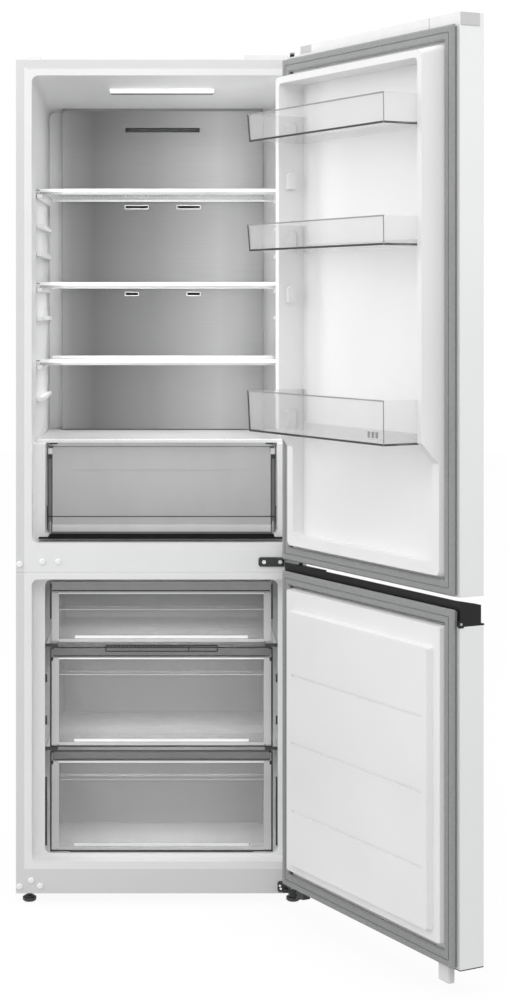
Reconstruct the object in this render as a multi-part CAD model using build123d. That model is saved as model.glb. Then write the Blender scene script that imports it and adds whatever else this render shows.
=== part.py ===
from build123d import *
import math
import os

# Bottom freezer refrigerator, 595 mm wide, standing on the floor with both doors swung open.
# X runs to the right, Y to the back and Z up. The front plane of the cabinet is Y = 0 and its
# middle is X = 0. The finished pieces are shifted so that the origin is the point where the
# front left levelling foot meets the floor. All sizes are in millimetres.

# Cabinet
cabinet_width = 595.0
cabinet_depth = 575.0
floor_clearance = 20.0
steel = 0.8
flange_width = 17.0
lip_width = 15.0
bottom_rail_height = 50.0
freezer_opening_height = 578.0
middle_rail_height = 44.0
fridge_opening_height = 958.0
rail_return = 9.0
top_corner_radius = 3.0
bead_width = 14.0
bead_depth = 1.2
bead_pitch = 120.0
bead_end_gap = 70.0

# Inner liners
liner_wall = 2.0
rear_foam = 70.0
side_foam_step = 24.5
machine_roof_foam = 42.0
machine_front_foam = 47.0
entry_depth = 40.0
entry_draft = 1.5
side_draft = 4.5
ceiling_drop = 27.0
bay_draft = 3.0
bay_rise = 6.0
crisper_zone_height = 200.0
corner_radius = 14.0
seat_radius = 2.0

# Machine compartment under the back of the freezer
machine_depth = 245.0
machine_height = 242.0
machine_slope = 65.0

# Shelves, with their heights above the ledge over the crisper
glass = 4.0
shelf_side_gap = 4.5
shelf_front = 120.0
shelf_back_gap = 4.0
shelf_rises = [521.0, 324.0, 161.0]
spare_rib_rises = [459.0, 399.0, 263.0, 93.0]
shelf_trim_height = 12.0
shelf_trim_depth = 9.0
rib_height = 8.0
rib_width = 10.0
crisper_cover_front = 84.0
cover_edge_gap = 2.0

# Cold air duct behind the shelves
duct_thickness = 65.0
duct_side_gap = 9.0
duct_sheet = 2.0
duct_top_gap = 3.0
slot_height = 10.0
wide_slot_length = 169.0
wide_slot_drop = 41.0
vent_height = 6.0
vent_drop = 8.0
vent_lengths = [51.0, 28.5]
channel_width = 80.0
channel_depth = 30.0
channel_back_wall = 10.0
branch_height = 12.0
damper_pin_radius = 2.5
damper_rise = 30.0

# Ceiling lamp
lamp_length = 222.0
lamp_depth = 58.0
lamp_front = 174.0
lamp_proud = 3.0

# Crisper drawer
crisper_front_y = 100.0
crisper_side_gap = 2.0
crisper_back_gap = 22.0
crisper_top_gap = 4.0
crisper_floor_gap = 4.0
crisper_post = 10.0
crisper_rim_drop = 22.0
rail_height = 11.0

# Freezer drawers
freezer_drawer_names = ["top_freezer_drawer", "middle_freezer_drawer", "bottom_freezer_drawer"]
middle_drawer_height = 206.0
drawer_floor_gap = 2.5
drawer_top_gap = 6.0
drawer_split_gap = 8.0
drawer_step_gap = 2.5
drawer_step_rise = 6.0
drawer_front_y = 48.0
drawer_side_gap = 10.0
drawer_back_gap = 30.0
low_drawer_back_gap = 13.0
drawer_wall = 2.5
drawer_frame = 18.0
drawer_draft = 8.0
drawer_rib_width = 20.0
drawer_rib_height = 6.5

# Freezer duct panel, evaporator and fan
freezer_panel_gap = 87.0
freezer_panel_wall = 3.0
louvre_height = 8.0
louvre_length = 38.0
louvre_pitch_x = 42.5
louvre_pitch_z = 20.0
louvre_count = 6
low_louvre_rise = 146.0
high_louvre_drop = 47.0
evaporator_end_gap = 51.0
evaporator_depth = 58.0
evaporator_rise = 31.0
fan_to_coil = 17.0
fin_count = 15
fin_thickness = 1.6
fin_notch = 14.0
coil_radius = 4.0
coil_rows = 4
fan_radius = 50.0
fan_drop = 65.0
fan_hub_radius = 15.0
fan_blades = 5
fan_width = 20.0
fan_shaft_radius = 3.0
motor_depth = 30.0
motor_radius = 18.0
motor_foot_spread = 42.0

# Doors
split_drop = 15.0
door_gap_height = 7.0
door_gap = 12.0
door_thickness = 52.5
door_inset = 1.0
door_edge_radius = 3.0
door_top_rise = 14.0
door_bottom_rise = 33.5
pin_inset = 14.0
pin_depth = 30.0
pin_radius = 4.0
open_angle = 118.0
top_cap_height = 24.0
bottom_cap_height = 12.0
cap_plate = 2.0
hinge_notch_length = 55.0
hinge_notch_depth = 17.0
hinge_block_length = 63.0
hinge_block_proud = 0.6
seam_from_edge = 85.0
stop_from_pin = 35.0
stop_length = 40.0
stop_drop = 3.2
closer_length = 21.6
closer_half_width = 8.5
free_stop_from_edge = 42.0
free_stop_length = 33.0
free_stop_depth = 14.0
free_stop_drop = 35.5
free_stop_back = 6.0

# Door liners
gasket_width = 26.5
gasket_overlap = 1.5
gasket_clearance = 0.5
gasket_edge = 3.0
gasket_groove = 2.0
gasket_groove_depth = 1.6
dike_gap = 2.5
dike_height = 38.0
dike_draft = 13.0
dike_width = 12.5
dike_slope = 2.0
dike_bottom_gap = 3.0
dike_top_gap = 5.0
dike_corner = 10.0
low_frame_height = 6.0
dike_end_rise = 6.0
dike_end_run = 38.0
door_recess = 6.0
frame_gap = 2.0
frame_draft = 3.0
frame_bottom_gap = 6.0
frame_top_gap = 5.0
frame_corner = 4.0
panel_height = 12.0
panel_side_step = 22.0
panel_draft = 4.0
panel_bottom_gap = 25.0
panel_top_gap = 44.0
groove_rises = [137.0, 271.0, 405.0]
groove_end_gap = 19.5
groove_width = 5.0
groove_depth = 3.0

# Balconies. The upper two hang at a drop below the top of the opening and the lowest stands at
# a rise above its floor, each measured to the underside.
balcony_names = ["top_balcony", "middle_balcony", "bottom_balcony"]
balcony_drops = [149.0, 364.0]
low_balcony_rise = 240.0
balcony_heights = [54.0, 52.0, 80.0]
spare_lug_drops = [240.0, 465.0]
balcony_depth = 110.0
balcony_end_gap = 0.5
balcony_splay = 4.0
balcony_wall = 2.4
balcony_draft = 3.0
balcony_back_gap = 3.0
lug_width = 18.0
lug_height = 33.0
lug_reach = 10.5
lug_middle = 13.0
lug_clearance = 0.3
hood_wall = 1.8

# Handle cap on top of the freezer door
handle_height = 45.0
handle_floor = 10.0
handle_lip = 32.0
handle_wall = 4.0
handle_block = 74.0
handle_end = 20.0
handle_slope = 10.0
end_block_inset = 7.0
end_block_lip = 3.0

# Hinges
hinge_plate = 3.0
middle_hinge_length = 53.0
middle_hinge_height = 19.0
middle_hinge_from_pin = 84.5
middle_arm_start = 36.0
bottom_hinge_from_pin = 45.5
bottom_hinge_width = 21.0
bottom_hinge_rise = 3.5
bottom_hinge_height = 22.0
bottom_arm_length = 26.5
bottom_arm_start = 10.5
bottom_arm_height = 7.5
bottom_arm_depth = 5.0
bearing_rise = 2.5
bearing_radius = 9.0
bearing_lug_length = 11.0
bearing_lug_height = 14.0
bearing_lug_depth = 7.0
hinge_arm_half_width = 13.0
top_arm_half_width = 11.0
hinge_pin_reach = 24.0
top_hinge_from_pin = 78.5
top_hinge_depth = 52.0
top_hinge_front = 6.0
hinge_cover_from_pin = 112.5
hinge_cover_depth = 66.0
hinge_cover_height = 11.0
hinge_cover_wall = 2.0
screw_radius = 4.0
screw_head = 2.0
plug_radius = 5.5
plug_height = 1.6
blank_cap_width = 24.0
blank_cap_depth = 22.0
blank_cap_height = 8.0

# Feet and rollers
foot_inset = 26.5
foot_setback = 20.0
foot_radius = 14.0
foot_height = 11.0
foot_stem_radius = 5.0
foot_stem_depth = 33.0
roller_radius = 19.0
roller_width = 18.0
roller_inset = 42.0
roller_setback = 70.0
roller_well = 3.0
axle_radius = 4.0

# Compressor and what stands beside it
plate_rise = 10.0
plate_thickness = 2.0
plate_front_gap = 14.0
compressor_x = 70.0
compressor_setback = 103.0
compressor_radius = 72.0
compressor_height = 148.0
compressor_foot_spread = 82.0
compressor_foot_pitch = 44.0
grommet_radius = 11.0
grommet_height = 12.0
tray_length = 190.0
tray_width = 120.0
tray_height = 24.0
pipe_radius = 4.0
dryer_radius = 9.0
dryer_length = 90.0
dryer_side_gap = 116.0
cover_thickness = 1.5
cover_drop = 8.0
cover_slot_height = 8.0
cover_slot_count = 11
cover_slot_rises = [60.0, 76.0, 150.0, 166.0]
cover_side_margin = 40.0

# Fits
running_gap = 0.1
seat_gap = 0.3

# Levels and half widths worked out from the sizes above
cabinet_half = cabinet_width / 2
cabinet_bottom = floor_clearance
bottom_rail_top = cabinet_bottom + bottom_rail_height
freezer_low = bottom_rail_top + lip_width
freezer_high = freezer_low + freezer_opening_height
middle_rail_low = freezer_high + lip_width
middle_rail_high = middle_rail_low + middle_rail_height
fridge_low = middle_rail_high + lip_width
fridge_high = fridge_low + fridge_opening_height
cabinet_top = fridge_high + lip_width + flange_width
flange_half = cabinet_half - flange_width
opening_half = flange_half - lip_width
inside_half = cabinet_half - steel
ledge_height = fridge_low + crisper_zone_height
machine_top = cabinet_bottom + machine_height
machine_front = cabinet_depth - machine_depth
liner_depth = cabinet_depth - rear_foam
fridge_back_half = opening_half - side_draft
bay_half_width = opening_half - side_foam_step
bay_back_half = bay_half_width - bay_draft
bay_floor = fridge_low + bay_rise
freezer_ceiling = freezer_high - bay_rise
freezer_floor = freezer_low + bay_rise
freezer_step_height = machine_top + machine_roof_foam
freezer_step_depth = machine_front - machine_front_foam

shelf_heights = [ledge_height + rise for rise in shelf_rises]
spare_rib_heights = [ledge_height + rise for rise in spare_rib_rises]
duct_front = liner_depth - duct_thickness
duct_half_width = bay_back_half - duct_side_gap
duct_top = fridge_high - ceiling_drop - duct_top_gap
wide_slot_top = fridge_high - ceiling_drop - wide_slot_drop
channel_back = liner_depth - channel_back_wall
channel_front = channel_back - channel_depth
damper_y = channel_front + damper_pin_radius + 1.5
damper_z = bay_floor + damper_rise
shelf_back = duct_front - shelf_back_gap
shelf_half_width = fridge_back_half - shelf_side_gap

crisper_low = bay_floor + crisper_floor_gap
crisper_high = ledge_height - crisper_top_gap
crisper_rim = crisper_high - crisper_rim_drop
crisper_half_width = bay_half_width - crisper_side_gap
crisper_back = duct_front - crisper_back_gap

freezer_panel_y = liner_depth - freezer_panel_gap
drawer_half_width = bay_half_width - drawer_side_gap
drawer_back = freezer_panel_y - drawer_back_gap
low_drawer_back = freezer_step_depth - low_drawer_back_gap
low_drawer_bottom = freezer_floor + drawer_floor_gap
low_drawer_top = freezer_step_height - drawer_step_gap
middle_drawer_bottom = freezer_step_height + drawer_step_rise
middle_drawer_top = middle_drawer_bottom + middle_drawer_height
top_drawer_bottom = middle_drawer_top + drawer_split_gap
top_drawer_top = freezer_ceiling - drawer_top_gap
# Underside, top and back of each freezer drawer
freezer_drawers = [(top_drawer_bottom, top_drawer_top, drawer_back),
                   (middle_drawer_bottom, middle_drawer_top, drawer_back),
                   (low_drawer_bottom, low_drawer_top, low_drawer_back)]
fan_height = freezer_ceiling - fan_drop
motor_front = liner_depth - motor_depth
evaporator_half_width = bay_half_width - evaporator_end_gap
evaporator_bottom = freezer_step_height + evaporator_rise
evaporator_top = fan_height - fan_radius - fan_to_coil

door_split = middle_rail_high - split_drop
door_half = cabinet_half - door_inset
door_back = -door_gap
door_face = door_back - door_thickness
upper_door_bottom = door_split + door_gap_height / 2
upper_door_top = cabinet_top + door_top_rise
lower_door_bottom = cabinet_bottom + door_bottom_rise
lower_door_top = door_split - door_gap_height / 2
pin_x = cabinet_half - pin_inset
pin_y = door_back - pin_depth
tongue_high = door_split + hinge_plate / 2
middle_hinge_low = tongue_high - middle_hinge_height
upper_core_low = upper_door_bottom + bottom_cap_height
upper_core_high = upper_door_top - top_cap_height
lower_core_low = lower_door_bottom + bottom_cap_height
lower_core_high = lower_door_top - handle_height
gasket_half = opening_half - gasket_overlap + gasket_width
upper_gasket_low = upper_door_bottom + 1.5
upper_gasket_high = fridge_high - 2.0 + gasket_width
lower_gasket_low = freezer_low - 2.5 - gasket_width
lower_gasket_high = middle_hinge_low - 1.0
dike_half = opening_half - dike_gap
dike_inner_half = dike_half - dike_draft - dike_width
dike_end = ledge_height + dike_end_rise
frame_half = opening_half - frame_gap
panel_half = frame_half - panel_side_step
panel_low = freezer_low + panel_bottom_gap
panel_high = freezer_high - panel_top_gap
groove_heights = [freezer_low + rise for rise in groove_rises]

balcony_half_width = dike_inner_half - balcony_end_gap
balcony_back = door_back - door_recess + balcony_back_gap
balcony_levels = [fridge_high - drop for drop in balcony_drops] + [fridge_low + low_balcony_rise]
balconies = list(zip(balcony_levels, balcony_heights))
spare_lug_heights = [fridge_high - drop for drop in spare_lug_drops]
lug_face = dike_inner_half - lug_reach

middle_hinge_end = pin_x - middle_hinge_from_pin
bottom_hinge_left = pin_x - bottom_hinge_from_pin
bottom_hinge_low = cabinet_bottom + bottom_hinge_rise
bottom_hinge_top = bottom_hinge_low + bottom_hinge_height
bearing_low = cabinet_bottom + bearing_rise
bearing_top = bearing_low + hinge_plate
top_hinge_left = pin_x - top_hinge_from_pin
hinge_cover_left = pin_x - hinge_cover_from_pin

foot_x = cabinet_half - foot_inset
foot_y = foot_setback
foot_stem_top = cabinet_bottom + foot_stem_depth
roller_y = cabinet_depth - roller_setback
roller_x = cabinet_half - roller_inset
plate_low = cabinet_bottom + plate_rise
plate_top = plate_low + plate_thickness
compressor_y = cabinet_depth - compressor_setback
compressor_low = plate_top + grommet_height
tray_low = compressor_low + 3.0 + compressor_height
dryer_x = -inside_half + dryer_side_gap


# Shapes used by many pieces

def block(x0, x1, y0, y1, z0, z1):
    middle = Pos((x0 + x1) / 2, (y0 + y1) / 2, (z0 + z1) / 2)
    return middle * Box(x1 - x0, y1 - y0, z1 - z0)


def both_sides(piece):
    return piece + mirror(piece, about=Plane.YZ)


def upright(y):
    """The plane facing the front at the depth y, with its own x and y along X and Z."""
    return Plane(origin=(0, y, 0), x_dir=(1, 0, 0), z_dir=(0, -1, 0))


def upright_rectangle(y, half, low, high, radius, low_radius=None):
    """An upright rectangle whose lower corners may have a radius of their own."""
    outline = Rectangle(2 * half, high - low)
    corners = outline.vertices().group_by(Axis.Y)
    if radius > 0:
        outline = fillet(corners[-1], radius)
    corners = outline.vertices().group_by(Axis.Y)
    outline = fillet(corners[0], radius if low_radius is None else low_radius)
    return upright(y) * (Pos(0, (low + high) / 2) * outline)


def hollow(front, back, radius, low_radius=None):
    """A drafted space between two upright rectangles, each given as (y, half, low, high)."""
    ends = [upright_rectangle(*end, radius, low_radius) for end in (front, back)]
    return loft(ends, ruled=True)


def ring(half, low, high, width, y0, y1):
    outside = block(-half, half, y0, y1, low, high)
    return outside - block(-half + width, half - width, y0, y1, low + width, high - width)


def rod(radius, x, y, z0, z1):
    return Pos(x, y, (z0 + z1) / 2) * Cylinder(radius, z1 - z0)


def rod_along_y(radius, x, z, y0, y1):
    return Pos(x, (y0 + y1) / 2, z) * Rot(90, 0, 0) * Cylinder(radius, y1 - y0)


def rod_along_x(radius, y, z, x0, x1):
    return Pos((x0 + x1) / 2, y, z) * Rot(0, 90, 0) * Cylinder(radius, x1 - x0)


def side_profile(points, x0, x1):
    """A prism along X whose outline is given by points (y, z)."""
    plane = Plane(origin=(x0, 0, 0), x_dir=(0, 1, 0), z_dir=(1, 0, 0))
    return extrude(plane * make_face(Polyline(*points, close=True)), x1 - x0)


def top_profile(points, z0, z1):
    """A prism along Z whose outline is given by points (x, y)."""
    return extrude(Plane.XY.offset(z0) * make_face(Polyline(*points, close=True)), z1 - z0)


def bent_pipe(points, bend, radius):
    route = FilletPolyline(*points, radius=bend)
    section = Plane(origin=route @ 0, z_dir=route % 0) * Circle(radius)
    return sweep(section, path=route)


# Inside of the two compartments. A wall of zero gives the visible surface, and the wall
# thickness of the liner gives its outside, where the foam begins.

def entry_recess(low, high, wall):
    front = (-1.0 if wall == 0 else 0.0, opening_half + wall, low - wall, high + wall)
    inner_half = opening_half - entry_draft + wall
    back = (entry_depth + wall, inner_half, low + entry_draft - wall, high - entry_draft + wall)
    return hollow(front, back, corner_radius + wall)


def fridge_half(y):
    return opening_half - side_draft * y / liner_depth


def fridge_ceiling(y):
    return fridge_high - ceiling_drop * y / liner_depth


def fridge_section(y, low, high, wall):
    return (y, fridge_half(y) + wall, low - wall, high)


def fridge_space(wall):
    """The wide part above the ledge, the entry below it and the bay of the crisper."""
    y0 = -1.0 if wall == 0 else 0.0
    y1 = entry_depth + wall
    y2 = liner_depth + wall
    seat_top = ledge_height + 8
    space = hollow(fridge_section(y0, ledge_height, fridge_ceiling(y0) + wall, wall),
                   fridge_section(y2, ledge_height, fridge_ceiling(y2) + wall, wall),
                   corner_radius + wall, seat_radius + wall)
    space += hollow(fridge_section(y0, fridge_low, seat_top, wall),
                    fridge_section(y1, fridge_low + entry_draft, seat_top, wall),
                    0, corner_radius + wall)
    bay_low = bay_floor - wall
    return space + hollow((entry_depth - 1.0, bay_half_width + wall, bay_low, seat_top),
                          (y2, bay_back_half + wall, bay_low, seat_top),
                          0, corner_radius + wall)


def freezer_space(wall):
    top = freezer_ceiling + wall
    upper_front = (entry_depth - 1.0, bay_half_width + wall, freezer_step_height - wall, top)
    upper_back = (liner_depth + wall, bay_back_half + wall, freezer_step_height - wall, top)
    lower_low = freezer_floor - wall
    lower_high = freezer_step_height + 2 * corner_radius
    lower_front = (entry_depth - 1.0, bay_half_width + wall, lower_low, lower_high)
    lower_back = (freezer_step_depth + wall, bay_back_half + wall, lower_low, lower_high)
    space = entry_recess(freezer_low, freezer_high, wall)
    space += hollow(upper_front, upper_back, corner_radius + wall)
    return space + hollow(lower_front, lower_back, corner_radius + wall)


def liner_lip(low, high):
    return block(-flange_half, flange_half, 0, liner_wall, low - lip_width, high + lip_width)


def throat(grow):
    """The air passage through the floor between the two compartments, at the back."""
    half = channel_width / 2 + grow
    y0 = channel_front - grow
    y1 = channel_back + grow
    return block(-half, half, y0, y1, freezer_ceiling - 5, bay_floor + 5)


def lamp_space():
    half = lamp_length / 2
    ceiling = fridge_ceiling(lamp_front)
    low = fridge_ceiling(lamp_front + lamp_depth) - lamp_proud
    return block(-half, half, lamp_front, lamp_front + lamp_depth, low, ceiling + liner_wall + 4)


def wall_rib(y0, y1, wall_half, reach, top, height):
    return block(wall_half - reach, wall_half + liner_wall / 2, y0, y1, top - height, top)


def fridge_liner():
    shell = liner_lip(fridge_low, fridge_high) + fridge_space(liner_wall)
    shell -= fridge_space(0)
    for top in shelf_heights + spare_rib_heights:
        rib = wall_rib(shelf_front - 8, shelf_back - 4, fridge_back_half, rib_width, top,
                       rib_height)
        shell += both_sides(rib)
    return shell - throat(0) - lamp_space()


def freezer_liner():
    shell = liner_lip(freezer_low, freezer_high) + freezer_space(liner_wall)
    shell -= freezer_space(0)
    for low, high, back in freezer_drawers:
        rib_depth = min(drawer_rib_height, low - seat_gap - freezer_floor + 1)
        rib = wall_rib(entry_depth + 12, back, bay_back_half, drawer_rib_width,
                       low - seat_gap, rib_depth)
        shell += both_sides(rib) & freezer_space(liner_wall)
    return shell - throat(0)


# Outside of the cabinet

def outer_shell():
    """The sides and top, folded from one sheet, with its return round the front edges."""
    plate = block(-cabinet_half, cabinet_half, 0, cabinet_depth, cabinet_bottom, cabinet_top)
    plate = fillet(plate.edges().filter_by(Axis.Y).group_by(Axis.Z)[-1], top_corner_radius)
    inside = block(-inside_half, inside_half, -1, cabinet_depth + 1, cabinet_bottom - 1,
                   cabinet_top - steel)
    inside = fillet(inside.edges().filter_by(Axis.Y).group_by(Axis.Z)[-1], top_corner_radius - steel)
    front = block(-inside_half, inside_half, 0, steel, cabinet_bottom, cabinet_top - steel)
    front -= block(-flange_half, flange_half, -1, steel + 1, cabinet_bottom - 1,
                   cabinet_top - flange_width)
    return plate - inside + front


def back_panel():
    low = machine_top
    high = cabinet_top - steel
    sheet = block(-inside_half, inside_half, cabinet_depth - steel, cabinet_depth, low, high)
    sheet = fillet(sheet.edges().filter_by(Axis.Y).group_by(Axis.Z)[-1], top_corner_radius - steel)
    for i in (-1.5, -0.5, 0.5, 1.5):
        x = i * bead_pitch
        sheet += block(x - bead_width / 2, x + bead_width / 2, cabinet_depth,
                       cabinet_depth + bead_depth, low + bead_end_gap, high - bead_end_gap)
    return sheet


def deck_profile(lift):
    slope_top = machine_front + machine_slope
    return [(steel, cabinet_bottom + lift), (machine_front - lift / 4, cabinet_bottom + lift),
            (slope_top - lift / 4, machine_top + lift)]


def compressor_deck():
    """The folded sheet that closes the foam from below and roofs the machine compartment."""
    lower = deck_profile(0)
    upper = deck_profile(steel)
    back = cabinet_depth - steel
    points = lower + [(back, machine_top), (back, machine_top + steel)] + upper[::-1]
    return side_profile(points, -inside_half, inside_half) - foot_wells(0)


def foot_wells(grow):
    radius = foot_stem_radius + running_gap + grow
    top = foot_stem_top + 4 + grow
    return both_sides(rod(radius, foot_x, foot_y, cabinet_bottom - 1, top))


def cabinet_foam():
    top = cabinet_top - steel
    back = cabinet_depth - steel
    low = deck_profile(steel)
    points = low + [(back, machine_top + steel), (back, top), (steel, top)]
    foam = side_profile(points, -inside_half, inside_half)
    foam = fillet(foam.edges().filter_by(Axis.Y).group_by(Axis.Z)[-1], top_corner_radius - steel)
    foam -= liner_lip(fridge_low, fridge_high) + fridge_space(liner_wall)
    foam -= liner_lip(freezer_low, freezer_high) + freezer_space(liner_wall)
    foam -= block(-flange_half, flange_half, 0, rail_return, middle_rail_low, middle_rail_high)
    foam -= block(-flange_half, flange_half, 0, rail_return, cabinet_bottom, bottom_rail_top)
    return foam - throat(0) - lamp_space() - foot_wells(0)


def rail(low, high):
    """A folded steel cover across the front, open to the back."""
    cover = block(-flange_half, flange_half, 0, rail_return, low, high)
    return cover - block(-flange_half + steel, flange_half - steel, steel, rail_return,
                         low + steel, high - steel)


def middle_rail():
    return rail(middle_rail_low, middle_rail_high)


def bottom_rail():
    return rail(cabinet_bottom + steel, bottom_rail_top) - foot_wells(0)


# Cold air duct of the fridge compartment

def duct_slots(grow, y0, y1):
    half = wide_slot_length / 2
    slots = block(-half, half, y0, y1, wide_slot_top - slot_height - grow, wide_slot_top + grow)
    for shelf, length in zip(shelf_heights, vent_lengths):
        top = shelf - vent_drop
        vent = block(half - length, half, y0, y1, top - vent_height - grow, top + grow)
        slots += both_sides(vent)
    return slots


def duct_cover():
    """The brushed sheet behind the shelves, with its edges turned to the back."""
    low = ledge_height + glass + 2
    outside = block(-duct_half_width, duct_half_width, duct_front, liner_depth, low, duct_top)
    inside_edge = duct_half_width - duct_sheet
    inside = block(-inside_edge, inside_edge, duct_front + duct_sheet, liner_depth, low,
                   duct_top - duct_sheet)
    sheet = outside - inside
    front_edges = sheet.edges().filter_by(Axis.Z).group_by(Axis.Y)[0].sort_by(Axis.X)
    sheet = fillet([front_edges[0], front_edges[-1]], duct_sheet * 0.9)
    return sheet - duct_slots(0, duct_front - 1, duct_front + duct_sheet)


def air_duct():
    """The moulded foam block that carries the air up behind the sheet."""
    half = duct_half_width - duct_sheet
    y0 = duct_front + duct_sheet
    low = ledge_height + glass + 2
    body = block(-half, half, y0, liner_depth, low, duct_top - duct_sheet)
    foot_half = bay_back_half - corner_radius - 1
    body += block(-foot_half, foot_half, y0, liner_depth, bay_floor, ledge_height)
    body += block(-foot_half, foot_half, y0 + 4, liner_depth, ledge_height - 1, low + 1)
    channel_half = channel_width / 2
    body -= block(-channel_half, channel_half, channel_front, channel_back, bay_floor,
                  wide_slot_top)
    body -= duct_slots(3, y0, channel_back)
    branch_half = wide_slot_length / 2
    bore = damper_pin_radius + running_gap
    body -= rod_along_x(bore, damper_y, damper_z, -channel_half - 3.5, channel_half + 3.5)
    for shelf in shelf_heights[:len(vent_lengths)]:
        top = shelf - vent_drop + 3
        body -= block(-branch_half, branch_half, channel_front, channel_back,
                      top - branch_height, top)
    return body


def damper_flap():
    """The flap in the throat of the duct, drawn shut across the passage."""
    half = channel_width / 2 - 1
    y0 = channel_front + 1
    y1 = channel_back - 1
    plate = block(-half, half, y0 + 2, y1, damper_z - 1.5, damper_z + 1.5)
    return plate + rod_along_x(damper_pin_radius, damper_y, damper_z, -half - 4, half + 4)


def lamp_lens():
    lens = lamp_space()
    low_edges = lens.edges().group_by(Axis.Z)[0]
    return chamfer(low_edges, lamp_proud * 0.6)


# Shelves

def shelf_glass(height, front, half):
    return block(-half, half, front + shelf_trim_depth, shelf_back - shelf_trim_depth, height + 3,
                 height + 3 + glass)


def shelf_trim(height, front, half):
    """Front and rear profile of a shelf, each gripping an edge of the glass."""
    top = height + shelf_trim_height
    y_front = front + shelf_trim_depth
    front_bar = block(-half, half, front, y_front, height, top)
    front_bar = fillet(front_bar.edges().filter_by(Axis.X).group_by(Axis.Y)[0], 2.5)
    y_rear = shelf_back - shelf_trim_depth
    rear_bar = block(-half + 6, half - 6, y_rear, shelf_back, height + 1, top)
    runner = block(half - 8, half, y_front, y_rear, height, height + 3)
    return front_bar + rear_bar + both_sides(runner)


def shelf_trims():
    trims = [shelf_trim(height, shelf_front, shelf_half_width) for height in shelf_heights]
    trims.append(crisper_cover_trim())
    return trims


def crisper_cover_glass():
    half = fridge_back_half - cover_edge_gap
    notch_half = duct_half_width + 2
    pane = block(-half, half, crisper_cover_front + shelf_trim_depth, liner_depth - 6,
                 ledge_height, ledge_height + glass)
    return pane - block(-notch_half, notch_half, duct_front - 3, liner_depth,
                        ledge_height - 1, ledge_height + glass + 1)


def crisper_cover_trim():
    half = fridge_back_half - cover_edge_gap / 2
    bar = block(-half, half, crisper_cover_front, crisper_cover_front + shelf_trim_depth,
                ledge_height, ledge_height + glass + 3.5)
    return fillet(bar.edges().filter_by(Axis.X).group_by(Axis.Y)[0].sort_by(Axis.Z)[-1], 2.5)


# Crisper drawer

def crisper_rails():
    top = crisper_rim - seat_gap
    right = block(crisper_half_width - crisper_post + 2, bay_back_half, crisper_front_y + 20,
                  crisper_back, top - rail_height, top)
    return both_sides(right)


def crisper_drawer():
    half = crisper_half_width - crisper_post
    low = crisper_low + 3
    y0 = crisper_front_y + 3
    outside = drafted_tub(half, y0, crisper_back, low, crisper_high, drawer_draft, 0)
    inside = drafted_tub(half, y0, crisper_back, low, crisper_high, drawer_draft, drawer_wall)
    tub = outside - inside
    rim = block(half - 1, crisper_half_width - 3, y0 + 12, crisper_back - 2, crisper_rim,
                crisper_rim + 3)
    grip = side_profile([(y0, crisper_high - 22), (y0 + 22, crisper_high - 18),
                         (y0 + 22, crisper_high - 15), (y0, crisper_high - 19)],
                        -half + 4, half - 4)
    return tub + both_sides(rim) + grip


def drafted_tub(half, y0, y1, low, high, draft, wall):
    """The outside of a tub, or its inside when a wall is given. Its front is upright."""
    base = low + wall
    top = high + (0 if wall == 0 else 1)

    def section(z, inset):
        x = half - inset - wall
        back = y1 - inset - wall
        points = [(-x, y0 + wall), (x, y0 + wall), (x, back), (-x, back)]
        return Plane.XY.offset(z) * make_face(Polyline(*points, close=True))

    return loft([section(base, draft), section(top, 0)], ruled=True)


def crisper_front():
    """The dark posts and the bottom bar that frame the clear front of the drawer."""
    half = crisper_half_width
    low = crisper_low
    high = crisper_high - 8
    y0 = crisper_front_y
    post = block(half - crisper_post, half, y0, y0 + 9, low, high)
    bar = block(-half, half, y0 - 2, y0 + 9, low, low + 3)
    lip = block(-half, half, y0 - 2, y0 + 3, low, low + 9)
    frame = both_sides(post) + bar + lip
    outer = frame.edges().filter_by(Axis.Y).group_by(Axis.Z)[0].sort_by(Axis.X)
    return fillet([outer[0], outer[-1]], 8.0)


# Freezer drawers

def freezer_drawer(low, high, y1):
    half = drawer_half_width
    y0 = drawer_front_y
    tub_half = half - 5
    tub_high = high - 12
    tub = drafted_tub(tub_half, y0 + 6, y1, low, tub_high, drawer_draft, 0)
    tub -= drafted_tub(tub_half, y0 + 6, y1, low, tub_high, drawer_draft, drawer_wall)
    rim = block(-half, half, y0 + 6, y1, tub_high - 3, tub_high)
    rim -= block(-tub_half + drawer_wall, tub_half - drawer_wall, y0 + 6, y1 - drawer_wall,
                 tub_high - 4, tub_high + 1)
    plate = block(-half, half, y0 + 3, y0 + 6 + drawer_wall, low, high)
    frame = block(-half, half, y0, y0 + 3.5, low, high)
    frame -= block(-half + drawer_frame, half - drawer_frame, y0 - 1, y0 + 3.5,
                   low + drawer_frame, high - drawer_frame)
    corners = frame.edges().filter_by(Axis.Y)
    outer = [e for e in corners if abs(abs(e.center().X) - half) < 0.01]
    frame = fillet(outer, 3)
    grip_top = high - drawer_frame - 35
    grip = block(-half + drawer_frame, half - drawer_frame, y0 + 6, y0 + 20, grip_top - 2, grip_top)
    return plate + frame + tub + rim + grip


# Freezer duct panel, evaporator and fan

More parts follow.
